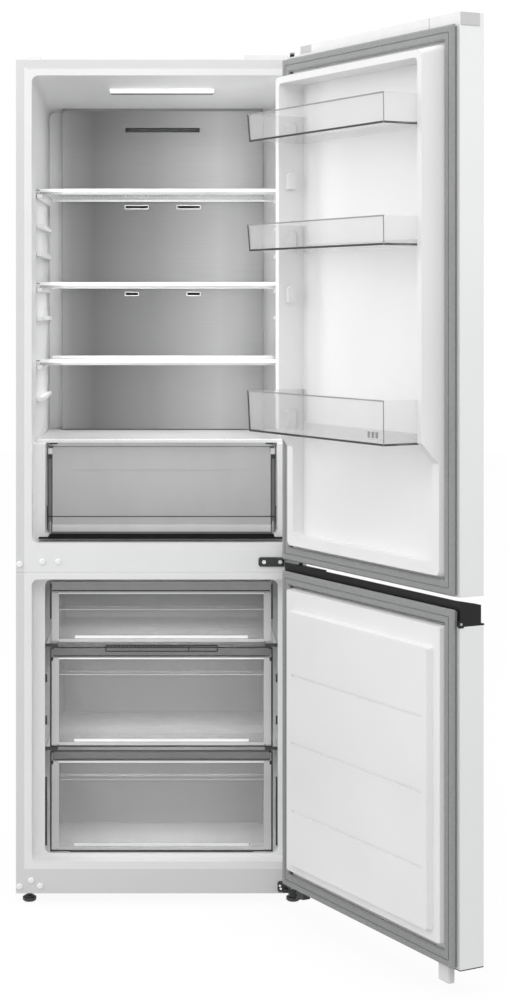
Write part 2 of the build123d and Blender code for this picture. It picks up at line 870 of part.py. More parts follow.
def freezer_duct_panel():
    """The cover of the evaporator, with louvres for each drawer, on a skirt down to the liner."""
    low = freezer_step_height
    high = freezer_ceiling
    half = bay_back_half - 0.5
    y0 = freezer_panel_y
    radius = corner_radius - 1
    outside = extrude(upright_rectangle(y0, half, low + 0.5, high - 0.5, radius), y0 - liner_depth)
    wall = freezer_panel_wall
    inside = extrude(upright_rectangle(y0 + wall, half - wall, low + 0.5 + wall,
                                       high - 0.5 - wall, radius - wall), y0 - liner_depth)
    panel = outside - inside
    for level in (low + low_louvre_rise, high - high_louvre_drop):
        for row in (0, 1):
            z = level + row * louvre_pitch_z
            for i in range(louvre_count):
                x = (i - (louvre_count - 1) / 2) * louvre_pitch_x
                panel -= block(x - louvre_length / 2, x + louvre_length / 2, y0 - 1,
                               y0 + wall + 1, z - louvre_height / 2, z + louvre_height / 2)
    return panel - throat(4)


def evaporator():
    """A finned block with the bends of its tube at both ends, against the back of the liner."""
    back = liner_depth
    front = back - evaporator_depth
    low = evaporator_bottom
    high = evaporator_top
    half = evaporator_half_width
    fins = block(-half, half, front, back, low, high)
    pitch = 2 * half / fin_count
    gap = (pitch - fin_thickness) / 2
    for i in range(fin_count):
        x = -half + pitch * (i + 0.5)
        fins -= block(x - gap, x + gap, front - 1, front + fin_notch, low - 1, high + 1)
    row_pitch = (high - low) / coil_rows
    y = (front + back) / 2
    for i in range(coil_rows - 1):
        side = 1 if i % 2 == 0 else -1
        z = low + row_pitch * (i + 1)
        bend = rod_along_y(row_pitch / 2, side * half, z, y - coil_radius, y + coil_radius)
        bend -= rod_along_y(row_pitch / 2 - 2 * coil_radius, side * half, z, y - coil_radius - 1,
                            y + coil_radius + 1)
        fins += bend
    return fins


def fan_motor():
    """The fan's motor on a three-armed bracket that stands on the back of the liner."""
    y1 = liner_depth
    body = rod_along_y(motor_radius, 0, fan_height, motor_front, y1 - 8)
    for angle in (90, 210, 330):
        x = motor_foot_spread * math.cos(math.radians(angle))
        z = motor_foot_spread * math.sin(math.radians(angle))
        arm = Pos(x / 2, y1 - 6, fan_height + z / 2) * Rot(0, -angle, 0)
        body += arm * Box(motor_foot_spread + 2, 6, 8)
        body += Pos(x, y1 - 4.5, fan_height + z) * Box(10, 9, 10)
    shaft_front = motor_front - fan_width - 4
    return body + rod_along_y(fan_shaft_radius, 0, fan_height, shaft_front, motor_front + 1)


def evaporator_fan():
    """A hub with pitched blades, running on the motor's shaft."""
    y1 = motor_front - 2
    y0 = y1 - fan_width
    hub = rod_along_y(fan_hub_radius, 0, fan_height, y0, y1)
    middle = (y0 + y1) / 2
    blade_length = fan_radius - fan_hub_radius + 3
    blade_middle = fan_hub_radius - 3 + blade_length / 2
    blade = Pos(blade_middle, 0, 0) * Rot(32, 0, 0) * Box(blade_length, 2, 26)
    blade = blade & rod_along_y(fan_radius, 0, 0, -fan_width / 2, fan_width / 2)
    for i in range(fan_blades):
        turned = Rot(0, 360 / fan_blades * i, 0) * blade
        hub += Pos(0, middle, fan_height) * turned
    bore = rod_along_y(fan_shaft_radius + running_gap, 0, fan_height, y0 - 1, y1 + 1)
    return hub - bore


# Doors, drawn shut. The hinge side is at +X.

def door_outline(y0, y1, low, high, inset):
    """An upright slab as wide as the door, with its two front edges rounded."""
    slab = block(-door_half + inset, door_half - inset, y0, y1, low, high)
    front_edges = slab.edges().filter_by(Axis.Z).group_by(Axis.Y)[0]
    return fillet(front_edges, door_edge_radius - inset)


def door_skin(low, high):
    outside = door_outline(door_face, door_back, low, high, 0)
    return outside - door_outline(door_face + steel, door_back + 1, low, high, steel)


def door_core(low, high, back):
    """The space inside the skin, up to the given back plane."""
    return door_outline(door_face + steel, back, low, high, steel)


def gasket(low, high):
    """A bellows seal: a base held by the liner, a narrow neck and a magnet bag in front."""
    half = gasket_half
    face = -gasket_clearance
    base = ring(half - 3, low + 3, high - 3, gasket_width - 6, door_back, door_back + 3)
    neck = ring(half - 6, low + 6, high - 6, gasket_width - 12, door_back + 3, door_back + 6)
    bag = ring(half, low, high, gasket_width, door_back + 6, face)
    bag = chamfer(bag.edges().group_by(Axis.Y)[-1], gasket_edge)
    inset = (gasket_width - gasket_groove) / 2
    groove = ring(half - inset, low + inset, high - inset, gasket_groove,
                  face - gasket_groove_depth, face + 1)
    return base + neck + bag - groove


def fridge_door_form(wall):
    """Volume behind the visible face of the fridge door's liner, less a wall of this thickness."""
    body = door_core(upper_core_low, upper_core_high, door_back - wall)
    low = fridge_low + dike_bottom_gap
    high = fridge_high - dike_top_gap
    top = dike_height - wall
    outer = hollow((door_back - wall - 1, dike_half - wall, low + wall, high - wall),
                   (top, dike_half - dike_draft - wall, low + dike_draft + wall,
                    high - dike_draft - wall), dike_corner)
    rim = dike_draft + dike_width
    floor = door_back - door_recess - wall
    inner_top = (dike_height + 1, dike_half - rim + wall, low + rim - wall, high - rim + wall)
    inner_floor = (floor, dike_half - rim - dike_slope / 2 + wall,
                   low + rim + dike_slope / 2 - wall, high - rim - dike_slope / 2 + wall)
    inner = hollow(inner_floor, inner_top, dike_corner)
    cut_low = low_frame_height - wall
    cut_high = dike_height + 2
    run = dike_end_run * (cut_high - low_frame_height) / (dike_height - low_frame_height)
    cut = side_profile([(cut_low, low - 10), (cut_high, low - 10),
                        (cut_high, dike_end + run + wall), (cut_low, dike_end + wall)],
                       -door_half, door_half)
    return body + (outer - cut) - inner


def lug(height):
    """An upright tab with a round head on the inner side of the right dike."""
    return arch(lug_face, dike_inner_half + liner_wall / 2, lug_width / 2, height,
                height + lug_height)


def arch(x0, x1, radius, low, top):
    face = block(x0, x1, lug_middle - radius, lug_middle + radius, low, top - radius)
    return face + rod_along_x(radius, lug_middle, top - radius, x0, x1)


def lug_base(balcony_low):
    return balcony_low + balcony_wall + 5


def fridge_door_liner():
    shell = fridge_door_form(0) - fridge_door_form(liner_wall)
    heights = [lug_base(low) for low, height in balconies] + spare_lug_heights
    for height in heights:
        shell += both_sides(lug(height))
    return shell


def fridge_door_foam():
    foam = fridge_door_form(liner_wall) - pin_bore(upper_door_bottom, upper_core_low + 20)
    return foam - pin_bore(upper_core_high - 12, upper_core_high + 1)


def freezer_door_form(wall):
    body = door_core(lower_core_low, lower_core_high, door_back - wall)
    low = freezer_low + frame_bottom_gap
    high = freezer_high - frame_top_gap
    frame = hollow((door_back - wall - 1, frame_half - wall, low + wall, high - wall),
                   (low_frame_height - wall, frame_half - frame_draft - wall,
                    low + frame_draft + wall, high - frame_draft - wall), frame_corner)
    top = low_frame_height + panel_height - wall
    panel = hollow((0, panel_half - wall, panel_low + wall, panel_high - wall),
                   (top, panel_half - panel_draft - wall, panel_low + panel_draft + wall,
                    panel_high - panel_draft - wall), frame_corner)
    form = body + frame + panel
    groove_half = panel_half - groove_end_gap + wall
    reach = groove_width / 2 + wall
    for z in groove_heights:
        form -= block(-groove_half, groove_half, top - groove_depth, top + 5, z - reach, z + reach)
    return form


def freezer_door_liner():
    return freezer_door_form(0) - freezer_door_form(liner_wall)


def freezer_door_foam():
    return freezer_door_form(liner_wall) - pin_bore(lower_door_bottom, lower_core_low + 20)


def pin_bore(low, high):
    return rod(pin_radius + running_gap, pin_x, pin_y, low - 1, high)


def upper_door_top_cap():
    """The moulded end of the door, stepped down at the hinge for the arm to pass."""
    low = upper_core_high
    high = upper_door_top
    cap = door_outline(door_face, door_back, low, high, 0)
    notch_x = door_half - hinge_notch_length
    cap -= block(notch_x, door_half + 1, door_face - 1, door_back + 1,
                 high - hinge_notch_depth, high + 1)
    cap += block(notch_x - hinge_block_length, notch_x, door_face + 4, door_back - 4, high - 1,
                 high + hinge_block_proud)
    seam_x = -door_half + seam_from_edge
    cap -= block(seam_x - 0.5, seam_x + 0.5, door_face - 1, door_back + 1, high - 0.8, high + 1)
    return cap - pin_bore(low, high)


def bottom_cap(low):
    """A plate across the whole end of the door with a plug that fits inside the skin."""
    plate = door_outline(door_face, door_back, low, low + cap_plate, 0)
    plug = door_core(low + cap_plate, low + bottom_cap_height, door_back)
    return plate + plug


def upper_door_bottom_cap():
    low = upper_door_bottom
    groove = block(-door_half + 60, pin_x - 60, door_face + 14, door_back - 12, low - 1, low + 8)
    x1 = pin_x - stop_from_pin
    stop = block(x1 - stop_length, x1, door_face + 14, door_back - 14, low - stop_drop, low + 1)
    cap = bottom_cap(low) - groove + stop
    return cap - pin_bore(low, low + bottom_cap_height + 1)


def lower_door_bottom_cap():
    """The lower cap with the black block about the pin that carries the door."""
    low = lower_door_bottom
    foot = bearing_top + seat_gap
    half = closer_half_width
    closer = block(pin_x - closer_length, pin_x, pin_y - half, pin_y + half, foot, low + 1)
    closer += rod(half, pin_x, pin_y, foot, low + 1)
    return bottom_cap(low) + closer - pin_bore(foot, low + bottom_cap_height + 1)


def lower_door_handle_cap():
    """The black grip along the top of the freezer door, a channel between two end blocks."""
    low = lower_core_high
    high = lower_door_top
    outline = [(door_face, low), (door_back, low), (door_back, high),
               (door_face, high - handle_slope)]
    cap = side_profile(outline, -door_half, door_half)
    x0 = -door_half + handle_end
    x1 = door_half - handle_block
    lip_top = low + handle_lip
    channel_floor = low + handle_floor
    channel = [(door_face + handle_wall, channel_floor),
               (door_back - handle_wall - 4, channel_floor), (door_back - handle_wall, high + 5),
               (door_face - 1, high + 5), (door_face - 1, lip_top),
               (door_face + handle_wall, lip_top)]
    cap -= side_profile(channel, x0, x1)
    cap -= block(-door_half - 1, x0 + 1, door_face - 1, door_face + end_block_inset,
                 low + end_block_lip, high + 1)
    return cap - pin_bore(high - hinge_pin_reach - 4, high + 2)


def lower_door_stop():
    """The small white block under the free end of the freezer door."""
    x0 = -door_half + free_stop_from_edge
    y1 = door_back - free_stop_back
    stop = block(x0, x0 + free_stop_length, y1 - free_stop_depth, y1,
                 lower_door_bottom - free_stop_drop, lower_door_bottom)
    return chamfer(stop.edges().filter_by(Axis.Z), 2)


# Balconies, drawn on the shut door

def balcony(low, height):
    """A clear tray with splayed ends that hangs on two lugs by the hooded slots in its ends."""
    back = balcony_back
    top = low + height

    def plan(inset, z, shrink):
        back_half = balcony_half_width - balcony_splay - inset - shrink / 2
        front_half = balcony_half_width - inset - shrink
        front = balcony_depth - inset - shrink
        points = [(-back_half, back + inset), (back_half, back + inset), (front_half, front),
                  (-front_half, front)]
        return Plane.XY.offset(z) * make_face(Polyline(*points, close=True))

    outside = loft([plan(0, low, balcony_draft), plan(0, top, 0)], ruled=True)
    inside = loft([plan(balcony_wall, low + balcony_wall, balcony_draft),
                   plan(balcony_wall, top + 1, 0)], ruled=True)
    tray = outside - inside
    mouth_half = balcony_half_width - balcony_splay - 12
    tray -= block(-mouth_half, mouth_half, back - 1, back + balcony_wall + 1, low + 14, top + 1)
    hood_top = lug_base(low) + lug_height + lug_clearance
    radius = lug_width / 2 + lug_clearance
    hood = arch(lug_face - 2.5, balcony_half_width - balcony_splay - 1, radius + hood_wall, low,
                hood_top + hood_wall)
    slot = arch(lug_face - 0.6, balcony_half_width + 3, radius, low - 1, hood_top)
    return tray + both_sides(hood) - both_sides(slot)


# Hinges

def arm_plate(x0, y1, z0, z1, half):
    """A flat arm with a round end about the hinge pin, back to the depth y1."""
    plate = block(pin_x - half, pin_x + half, pin_y, y1, z0, z1)
    plate += top_profile([(x0, y1), (pin_x - half, y1), (pin_x - half, pin_y + 6),
                          (x0, y1 - 4)], z0, z1)
    return plate + rod(half, pin_x, pin_y, z0, z1)


def top_hinge():
    z0 = cabinet_top
    z1 = z0 + hinge_plate
    half = top_arm_half_width
    y1 = top_hinge_front + top_hinge_depth
    plate = block(top_hinge_left, pin_x + half, top_hinge_front, y1, z0, z1)
    arm = arm_plate(pin_x - half - 10, top_hinge_front + 2, z0, z1, half)
    return plate + arm + rod(pin_radius, pin_x, pin_y, upper_core_high - 10, z1)


def top_hinge_cover():
    """The white cover over the top hinge, hollow from below."""
    z0 = cabinet_top
    z1 = z0 + hinge_cover_height
    wall = hinge_cover_wall
    half = top_arm_half_width + seat_gap
    x1 = pin_x + half
    nose_x = pin_x - half - 11
    body = block(hinge_cover_left, x1 + wall, 3, hinge_cover_depth, z0, z1)
    body += block(nose_x - wall, x1 + wall, pin_y, 4, z0 + 1, z1)
    body += rod(half + wall, pin_x, pin_y, z0 + 1, z1)
    body = chamfer(body.edges().group_by(Axis.Z)[-1], 1.2)
    ceiling = z1 - wall
    inside = block(hinge_cover_left + wall, x1, 3 + wall, hinge_cover_depth - wall, z0 - 1, ceiling)
    inside += block(nose_x, x1, pin_y, 10, z0 - 1, ceiling)
    inside += rod(half, pin_x, pin_y, z0 - 1, ceiling)
    hole = rod(3, hinge_cover_left + 20, 20, z0, z1 + 1)
    return body - inside - hole


def middle_hinge():
    high = tongue_high
    x0 = middle_hinge_end
    plate = block(x0, x0 + middle_hinge_length, -hinge_plate, 0, middle_hinge_low, high)
    plate = fillet(plate.edges().filter_by(Axis.Y).group_by(Axis.X)[0], 5)
    arm_x = x0 + middle_arm_start
    arm = arm_plate(arm_x, -hinge_plate, high - hinge_plate, high, hinge_arm_half_width)
    arm += block(arm_x, pin_x + hinge_arm_half_width, -hinge_plate, 0, high - hinge_plate, high)
    collar = rod(pin_radius + 3, pin_x, pin_y, high, upper_door_bottom - seat_gap)
    pin = rod(pin_radius, pin_x, pin_y, lower_door_top - hinge_pin_reach,
              upper_door_bottom + hinge_pin_reach)
    return plate + arm + collar + pin


def bottom_hinge():
    """A small plate on the bottom rail, a cranked arm and the bearing plate under the door."""
    x0 = bottom_hinge_left
    plate = block(x0, x0 + bottom_hinge_width, -hinge_plate, 0, bottom_hinge_low, bottom_hinge_top)
    corners = plate.edges().filter_by(Axis.Y)
    plate = fillet(corners, 5)
    arm_top = bottom_hinge_low + bottom_arm_height
    arm_x = x0 + bottom_arm_length
    lug_back = pin_y + closer_half_width + bearing_lug_depth + 3
    arm_front = -hinge_plate - bottom_arm_depth
    arm = block(x0 + bottom_arm_start, arm_x, arm_front, 0, bottom_hinge_low, arm_top)
    arm += block(arm_x - 5, arm_x, lug_back, arm_front + 1, bearing_low,
                 bearing_low + bearing_lug_height)
    lug_front = lug_back - bearing_lug_depth
    bearing = block(arm_x - 5, pin_x, lug_front, lug_back, bearing_low, bearing_top)
    bearing += block(arm_x - 5, arm_x + bearing_lug_length, lug_front, lug_back, bearing_low,
                     bearing_low + bearing_lug_height)
    bearing += block(pin_x - bearing_radius, pin_x + bearing_radius, pin_y, lug_back,
                     bearing_low, bearing_top)
    bearing += rod(bearing_radius, pin_x, pin_y, bearing_low, bearing_top)
    pin = rod(pin_radius, pin_x, pin_y, bearing_low, lower_door_bottom + hinge_pin_reach)
    return plate + arm + bearing + pin


def screw(radius, x, y, z, along_y):
    """A low screw head with a dished top."""
    head = Cylinder(radius, screw_head) - Pos(0, 0, screw_head / 2) * Box(radius, 1.2, 1.2)
    return Pos(x, y, z) * (Rot(90, 0, 0) * head if along_y else head)


def hinge_screws():
    y = -hinge_plate - screw_head / 2
    middle_z = (middle_hinge_low + tongue_high) / 2
    screws = [screw(screw_radius, middle_hinge_end + x, y, middle_z, True) for x in (11.3, 44.4)]
    for x, rise in ((4.7, 13.4), (6.5, 7.4)):
        screws.append(screw(screw_radius * 0.6, bottom_hinge_left + x, y,
                            bottom_hinge_low + rise, True))
    top_z = cabinet_top + hinge_plate + screw_head / 2
    top_y = top_hinge_front + top_hinge_depth / 2
    screws += [screw(screw_radius, top_hinge_left + x, top_y, top_z, False) for x in (14, 50)]
    return screws


def blank_plugs():
    """White plugs in the holes for hanging the doors on the left, and the cap on the top left."""
    side_x = -cabinet_half + 7.5
    places = [(-pin_x + 40.5, middle_rail_low + 21), (-pin_x + 72.5, middle_rail_low + 21),
              (side_x, middle_rail_low + 16), (-pin_x + 17.5, cabinet_bottom + 26),
              (-pin_x + 35.5, cabinet_bottom + 14.5), (side_x, cabinet_bottom + 13.5)]
    plugs = []
    for x, z in places:
        plugs.append(rod_along_y(plug_radius, x, z, -plug_height, 0))
    cap = block(-pin_x + 12, -pin_x + 12 + blank_cap_width, 4, 4 + blank_cap_depth, cabinet_top,
                cabinet_top + blank_cap_height)
    plugs.append(chamfer(cap.edges().group_by(Axis.Z)[-1], 1.5))
    return plugs


# Feet and rollers

def levelling_foot(x):
    edge = 2.5
    neck = foot_radius - 4
    pad = Pos(0, 0, edge / 2) * Cone(foot_radius - edge, foot_radius, edge)
    pad += rod(foot_radius, 0, 0, edge, foot_height - 3)
    pad += rod(neck, 0, 0, foot_height - 3, foot_height)
    pad += rod(foot_stem_radius, 0, 0, foot_height, foot_stem_top)
    return Pos(x, foot_y, 0) * pad


def roller(x):
    wheel = rod_along_x(roller_radius, roller_y, roller_radius, x - roller_width / 2,
                        x + roller_width / 2)
    wheel = chamfer(wheel.edges().filter_by(GeomType.CIRCLE), 1.5)
    bore = rod_along_x(axle_radius + running_gap, roller_y, roller_radius, x - roller_width,
                       x + roller_width)
    return wheel - bore


def compressor_plate():
    """The steel plate across the machine compartment, with the ears and axles of the rollers."""
    y1 = cabinet_depth - cover_thickness
    y0 = machine_front + plate_front_gap
    plate = block(-inside_half, inside_half, y0, y1, plate_low, plate_top)
    slot = roller_radius + roller_well
    half = roller_width / 2 + 0.5
    plate -= both_sides(block(roller_x - half, roller_x + half, roller_y - slot, roller_y + slot,
                              plate_low - 1, plate_top + 1))
    ear_low = roller_radius - 9
    for side in (-1, 1):
        x = roller_x + side * (half + 1.25)
        ear = block(x - 1.25, x + 1.25, roller_y - 13, roller_y + 13, ear_low, plate_low + 0.5)
        plate += both_sides(ear)
    axle = rod_along_x(axle_radius, roller_y, roller_radius, roller_x - half - 2.5,
                       roller_x + half + 2.5)
    fold = block(-inside_half, inside_half, y0, y0 + plate_thickness, plate_low - 8, plate_top)
    return plate + both_sides(axle) + fold


# Compressor and its neighbours

def compressor():
    """A hermetic can of two pressed shells with a seam, on a plate with four feet."""
    r = compressor_radius
    can_low = compressor_low + 3
    seam = can_low + compressor_height * 0.52
    shoulder = compressor_height * 0.22
    can_top = can_low + compressor_height
    can = Pos(0, 0, can_low + shoulder / 2) * Cone(r * 0.62, r, shoulder)
    can += rod(r, 0, 0, can_low + shoulder, seam)
    can += rod(r + 3, 0, 0, seam - 3, seam)
    can += rod(r - 2, 0, 0, seam, can_top - shoulder)
    can += Pos(0, 0, can_top - shoulder / 2) * Cone(r - 2, r * 0.5, shoulder)
    can = Pos(compressor_x, compressor_y, 0) * can
    spread = compressor_foot_spread
    foot_plate = block(compressor_x - spread - 10, compressor_x + spread + 10, compressor_y - 34,
                       compressor_y + 34, compressor_low, compressor_low + 4)
    foot_plate = chamfer(foot_plate.edges().filter_by(Axis.Z), 8)
    terminal = block(compressor_x - r - 22, compressor_x - r + 8, compressor_y - 26,
                     compressor_y + 26, compressor_low + 34, compressor_low + 96)
    for y, height, radius in pipe_ports():
        can += rod_along_x(radius + 1.5, y, compressor_low + height, compressor_x + r - 8,
                           socket_end())
    return can + foot_plate + terminal


def socket_end():
    return compressor_x + compressor_radius + 8


def pipe_ports():
    """The suction and discharge ports: place along Y, height above the feet, pipe radius."""
    return [(compressor_y + 14, 60.0, pipe_radius), (compressor_y - 16, 42.0, pipe_radius * 0.75)]


def compressor_grommets():
    places = [(compressor_x + sx * compressor_foot_spread,
               compressor_y + sy * compressor_foot_pitch / 2) for sx in (-1, 1) for sy in (-1, 1)]
    return [rod(grommet_radius, x, y, plate_top, plate_top + grommet_height) for x, y in places]


def drip_tray():
    """The open tray on top of the compressor where defrost water dries."""
    x0 = compressor_x - tray_length / 2
    y0 = compressor_y - tray_width / 2 + 6
    wall = 2.0
    outside = block(x0, x0 + tray_length, y0, y0 + tray_width, tray_low, tray_low + tray_height)
    outside = chamfer(outside.edges().filter_by(Axis.Z), 8)
    inside = block(x0 + wall, x0 + tray_length - wall, y0 + wall, y0 + tray_width - wall,
                   tray_low + wall, tray_low + tray_height + 1)
    return outside - chamfer(inside.edges().filter_by(Axis.Z), 7)


def refrigerant_pipes():
    """Suction and discharge pipes from the can up to the deck, and the dryer beside it."""
    pipes = []
    for (y, height, radius), reach in zip(pipe_ports(), (28.0, 56.0)):
        x = socket_end()
        z = compressor_low + height
        route = [(x, y, z), (x + reach, y, z), (x + reach, y, machine_top)]
        pipes.append(bent_pipe(route, 14, radius))
    dryer = rod(dryer_radius, dryer_x, compressor_y, plate_top + 30, plate_top + 30 + dryer_length)
    feed = rod(pipe_radius * 0.75, dryer_x, compressor_y, plate_top, machine_top)
    return pipes + [dryer + feed]


def machine_cover():
    """The slotted plate that closes the machine compartment at the back."""
    y0 = cabinet_depth - cover_thickness
    low = plate_low - cover_drop
    half = inside_half - 1
    cover = block(-half, half, y0, cabinet_depth, low, machine_top)
    pitch = 2 * (inside_half - cover_side_margin) / cover_slot_count
    for i in range(cover_slot_count):
        x = pitch * (i - (cover_slot_count - 1) / 2)
        for rise in cover_slot_rises:
            cover -= block(x - pitch * 0.32, x + pitch * 0.32, y0 - 1, cabinet_depth + 1,
                           low + rise - cover_slot_height / 2, low + rise + cover_slot_height / 2)
    return cover


# Writing the pieces

os.makedirs("parts", exist_ok=True)
origin_shift = Pos(foot_x, -foot_y, 0)
swing = Pos(pin_x, pin_y, 0) * Rot(0, 0, open_angle) * Pos(-pin_x, -pin_y, 0)


def save(name, shape, swung=False):
    solids = shape if isinstance(shape, list) else [shape]
    placed = []
    for piece in solids:
        placed += [origin_shift * swing * s if swung else origin_shift * s for s in piece.solids()]
    result = placed[0] if len(placed) == 1 else Compound(children=placed)
    export_step(result, os.path.join("parts", name + ".step"))


save("outer_shell", outer_shell())
save("back_panel", back_panel())
save("compressor_deck", compressor_deck())
save("cabinet_foam", cabinet_foam())
save("fridge_liner", fridge_liner())
save("freezer_liner", freezer_liner())
save("middle_rail", middle_rail())
save("bottom_rail", bottom_rail())
save("duct_cover", duct_cover())
save("air_duct", air_duct())
save("air_damper", damper_flap())
save("lamp_lens", lamp_lens())
for name, height in zip(["upper_shelf", "middle_shelf", "lower_shelf"], shelf_heights):
    save(name, shelf_glass(height, shelf_front, shelf_half_width))
save("shelf_trims", shelf_trims())
save("crisper_cover", crisper_cover_glass())
save("crisper_rails", crisper_rails())
save("crisper_drawer", crisper_drawer())
save("crisper_front", crisper_front())
for name, (low, high, back) in zip(freezer_drawer_names, freezer_drawers):
    save(name, freezer_drawer(low, high, back))
save("freezer_duct_panel", freezer_duct_panel())
save("evaporator", evaporator())
save("fan_motor", fan_motor())
save("evaporator_fan", evaporator_fan())

save("upper_door_skin", door_skin(upper_door_bottom + cap_plate, upper_core_high), swung=True)
save("upper_door_liner", fridge_door_liner(), swung=True)
save("upper_door_foam", fridge_door_foam(), swung=True)
save("upper_door_gasket", gasket(upper_gasket_low, upper_gasket_high), swung=True)
save("upper_door_top_cap", upper_door_top_cap(), swung=True)
save("upper_door_bottom_cap", upper_door_bottom_cap(), swung=True)
save("lower_door_skin", door_skin(lower_door_bottom + cap_plate, lower_core_high), swung=True)
save("lower_door_liner", freezer_door_liner(), swung=True)
save("lower_door_foam", freezer_door_foam(), swung=True)
save("lower_door_gasket", gasket(lower_gasket_low, lower_gasket_high), swung=True)
save("lower_door_handle_cap", lower_door_handle_cap(), swung=True)
save("lower_door_bottom_cap", lower_door_bottom_cap(), swung=True)
save("lower_door_stop", lower_door_stop(), swung=True)
for name, (low, height) in zip(balcony_names, balconies):
    save(name, balcony(low, height), swung=True)

save("top_hinge", top_hinge())
save("top_hinge_cover", top_hinge_cover())
save("middle_hinge", middle_hinge())
save("bottom_hinge", bottom_hinge())
save("hinge_screws", hinge_screws())
save("blank_plugs", blank_plugs())
save("front_left_foot", levelling_foot(-foot_x))
save("front_right_foot", levelling_foot(foot_x))
save("rear_left_roller", roller(-roller_x))
save("rear_right_roller", roller(roller_x))
save("compressor_plate", compressor_plate())
save("compressor", compressor())
save("compressor_grommets", compressor_grommets())
save("drip_tray", drip_tray())
save("refrigerant_pipes", refrigerant_pipes())
save("machine_cover", machine_cover())
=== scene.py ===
import math

import bpy
import bmesh
from mathutils import Matrix, Vector


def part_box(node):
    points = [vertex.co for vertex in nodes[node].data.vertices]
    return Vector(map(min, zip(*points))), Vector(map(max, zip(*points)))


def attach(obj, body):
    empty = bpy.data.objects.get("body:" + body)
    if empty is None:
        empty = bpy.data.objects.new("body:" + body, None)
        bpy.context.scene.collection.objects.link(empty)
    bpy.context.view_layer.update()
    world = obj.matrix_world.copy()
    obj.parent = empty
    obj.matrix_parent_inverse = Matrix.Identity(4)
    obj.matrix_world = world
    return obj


# A white refrigerator over a bottom freezer, standing on a pale floor with both doors open.
# The origin is under the front left foot, X runs to the right, Y to the back and Z up.

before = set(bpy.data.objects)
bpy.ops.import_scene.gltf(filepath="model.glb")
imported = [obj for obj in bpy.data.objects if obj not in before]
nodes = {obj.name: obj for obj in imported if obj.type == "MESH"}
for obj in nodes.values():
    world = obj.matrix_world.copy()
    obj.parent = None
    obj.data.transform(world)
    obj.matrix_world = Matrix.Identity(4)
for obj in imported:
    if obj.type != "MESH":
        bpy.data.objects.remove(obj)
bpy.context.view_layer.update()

MM = 0.001
# The middle of the cabinet and its front plane, from the frame's origin.
MIDDLE_X = 0.271
FRONT_Y = -0.020
# The doors' pin, from the middle of the cabinet and its front plane, and how far both stand open.
PIN = Vector((MIDDLE_X + 283.5 * MM, FRONT_Y - 42.0 * MM, 0.0))
DOOR_OPEN = math.radians(118.0)

SHELVES = ("upper_shelf", "middle_shelf", "lower_shelf")
FREEZER_DRAWERS = ("top_freezer_drawer", "middle_freezer_drawer", "bottom_freezer_drawer")
BALCONIES = ("top_balcony", "middle_balcony", "bottom_balcony")


# Materials

def linear(code):
    """A colour written as sRGB hex, in the linear values that Blender works with."""
    values = [int(code[i:i + 2], 16) / 255 for i in (1, 3, 5)]
    return [v / 12.92 if v <= 0.04045 else ((v + 0.055) / 1.055) ** 2.4 for v in values] + [1.0]


def add(tree, kind, inputs=None, **settings):
    """A node with its settings, and with its sockets given a value or linked to another's output."""
    node = tree.nodes.new(kind)
    for name, value in settings.items():
        setattr(node, name, value)
    for name, value in (inputs or {}).items():
        socket = node.inputs[name]
        if isinstance(value, bpy.types.NodeSocket):
            tree.links.new(value, socket)
        else:
            socket.default_value = value
    return node


def start(name, **values):
    """A material with a Principled BSDF that has these values. Returns it with its tree and shader."""
    material = bpy.data.materials.new(name)
    material.use_nodes = True
    tree = material.node_tree
    shader = tree.nodes["Principled BSDF"]
    for socket, value in values.items():
        shader.inputs[socket.replace("_", " ")].default_value = value
    return material, tree, shader


# Most noise lies between these two values.
NOISE_SPAN = {"From Min": 0.3, "From Max": 0.7}


def surface(name, cloud=None, colours=None, grit=None, rough=None, relief=None, depth_mm=0, **values):
    """A material whose colour, roughness and height each follow a noise on Object coordinates.

    A noise is the size of its blotches in mm, its detail and, where it runs one way, its stretch
    along X, Y and Z. The cloud leads from one of the colours to the other, the grit from one
    roughness to the other, and the relief is depth_mm deep. What is given no noise keeps the
    shader's own value, or is linked afterwards. Returns the material with its tree and shader.
    """
    material, tree, shader = start(name, **values)
    where = add(tree, "ShaderNodeTexCoord")
    for noise, goes_to in ((cloud, "Base Color"), (grit, "Roughness"), (relief, "Normal")):
        if not noise:
            continue
        size_mm, detail, *stretch = noise
        place = add(tree, "ShaderNodeMapping", {"Vector": where.outputs["Object"],
                                                "Scale": stretch[0] if stretch else (1, 1, 1)})
        blotches = add(tree, "ShaderNodeTexNoise", {"Vector": place.outputs["Vector"],
                                                    "Scale": 1000 / size_mm, "Detail": detail})
        height = blotches.outputs["Fac"]
        if goes_to == "Base Color":
            share = add(tree, "ShaderNodeMapRange", {"Value": height, **NOISE_SPAN})
            last = add(tree, "ShaderNodeMix", {"Factor": share.outputs["Result"], "A": linear(colours[0]),
                                               "B": linear(colours[1])}, data_type="RGBA")
            tree.links.new(last.outputs["Result"], shader.inputs[goes_to])
        elif goes_to == "Roughness":
            last = add(tree, "ShaderNodeMapRange", {"Value": height, **NOISE_SPAN, "To Min": rough[0],
                                                    "To Max": rough[1]})
            tree.links.new(last.outputs["Result"], shader.inputs[goes_to])
        else:
            last = add(tree, "ShaderNodeBump", {"Height": height, "Distance": depth_mm * MM})
            tree.links.new(last.outputs["Normal"], shader.inputs[goes_to])
    return material, tree, shader


def powder_coated_steel(name, light, shade):
    # White powder coated steel sheet: a soft gloss with the shallow dimples of orange peel.
    return surface(name, cloud=(180, 1), colours=(light, shade), grit=(12, 2), rough=(0.32, 0.37),
                   relief=(2.2, 1), depth_mm=0.006, IOR=1.5)[0]


def vacuum_formed_polystyrene(name, light, shade):
    # White vacuum formed polystyrene: satin gloss over long, very shallow waves from the mould.
    wave = (160, 0)
    return surface(name, cloud=wave, colours=(light, shade), grit=(8, 2), rough=(0.31, 0.38),
                   relief=wave, depth_mm=0.03, IOR=1.55)[0]


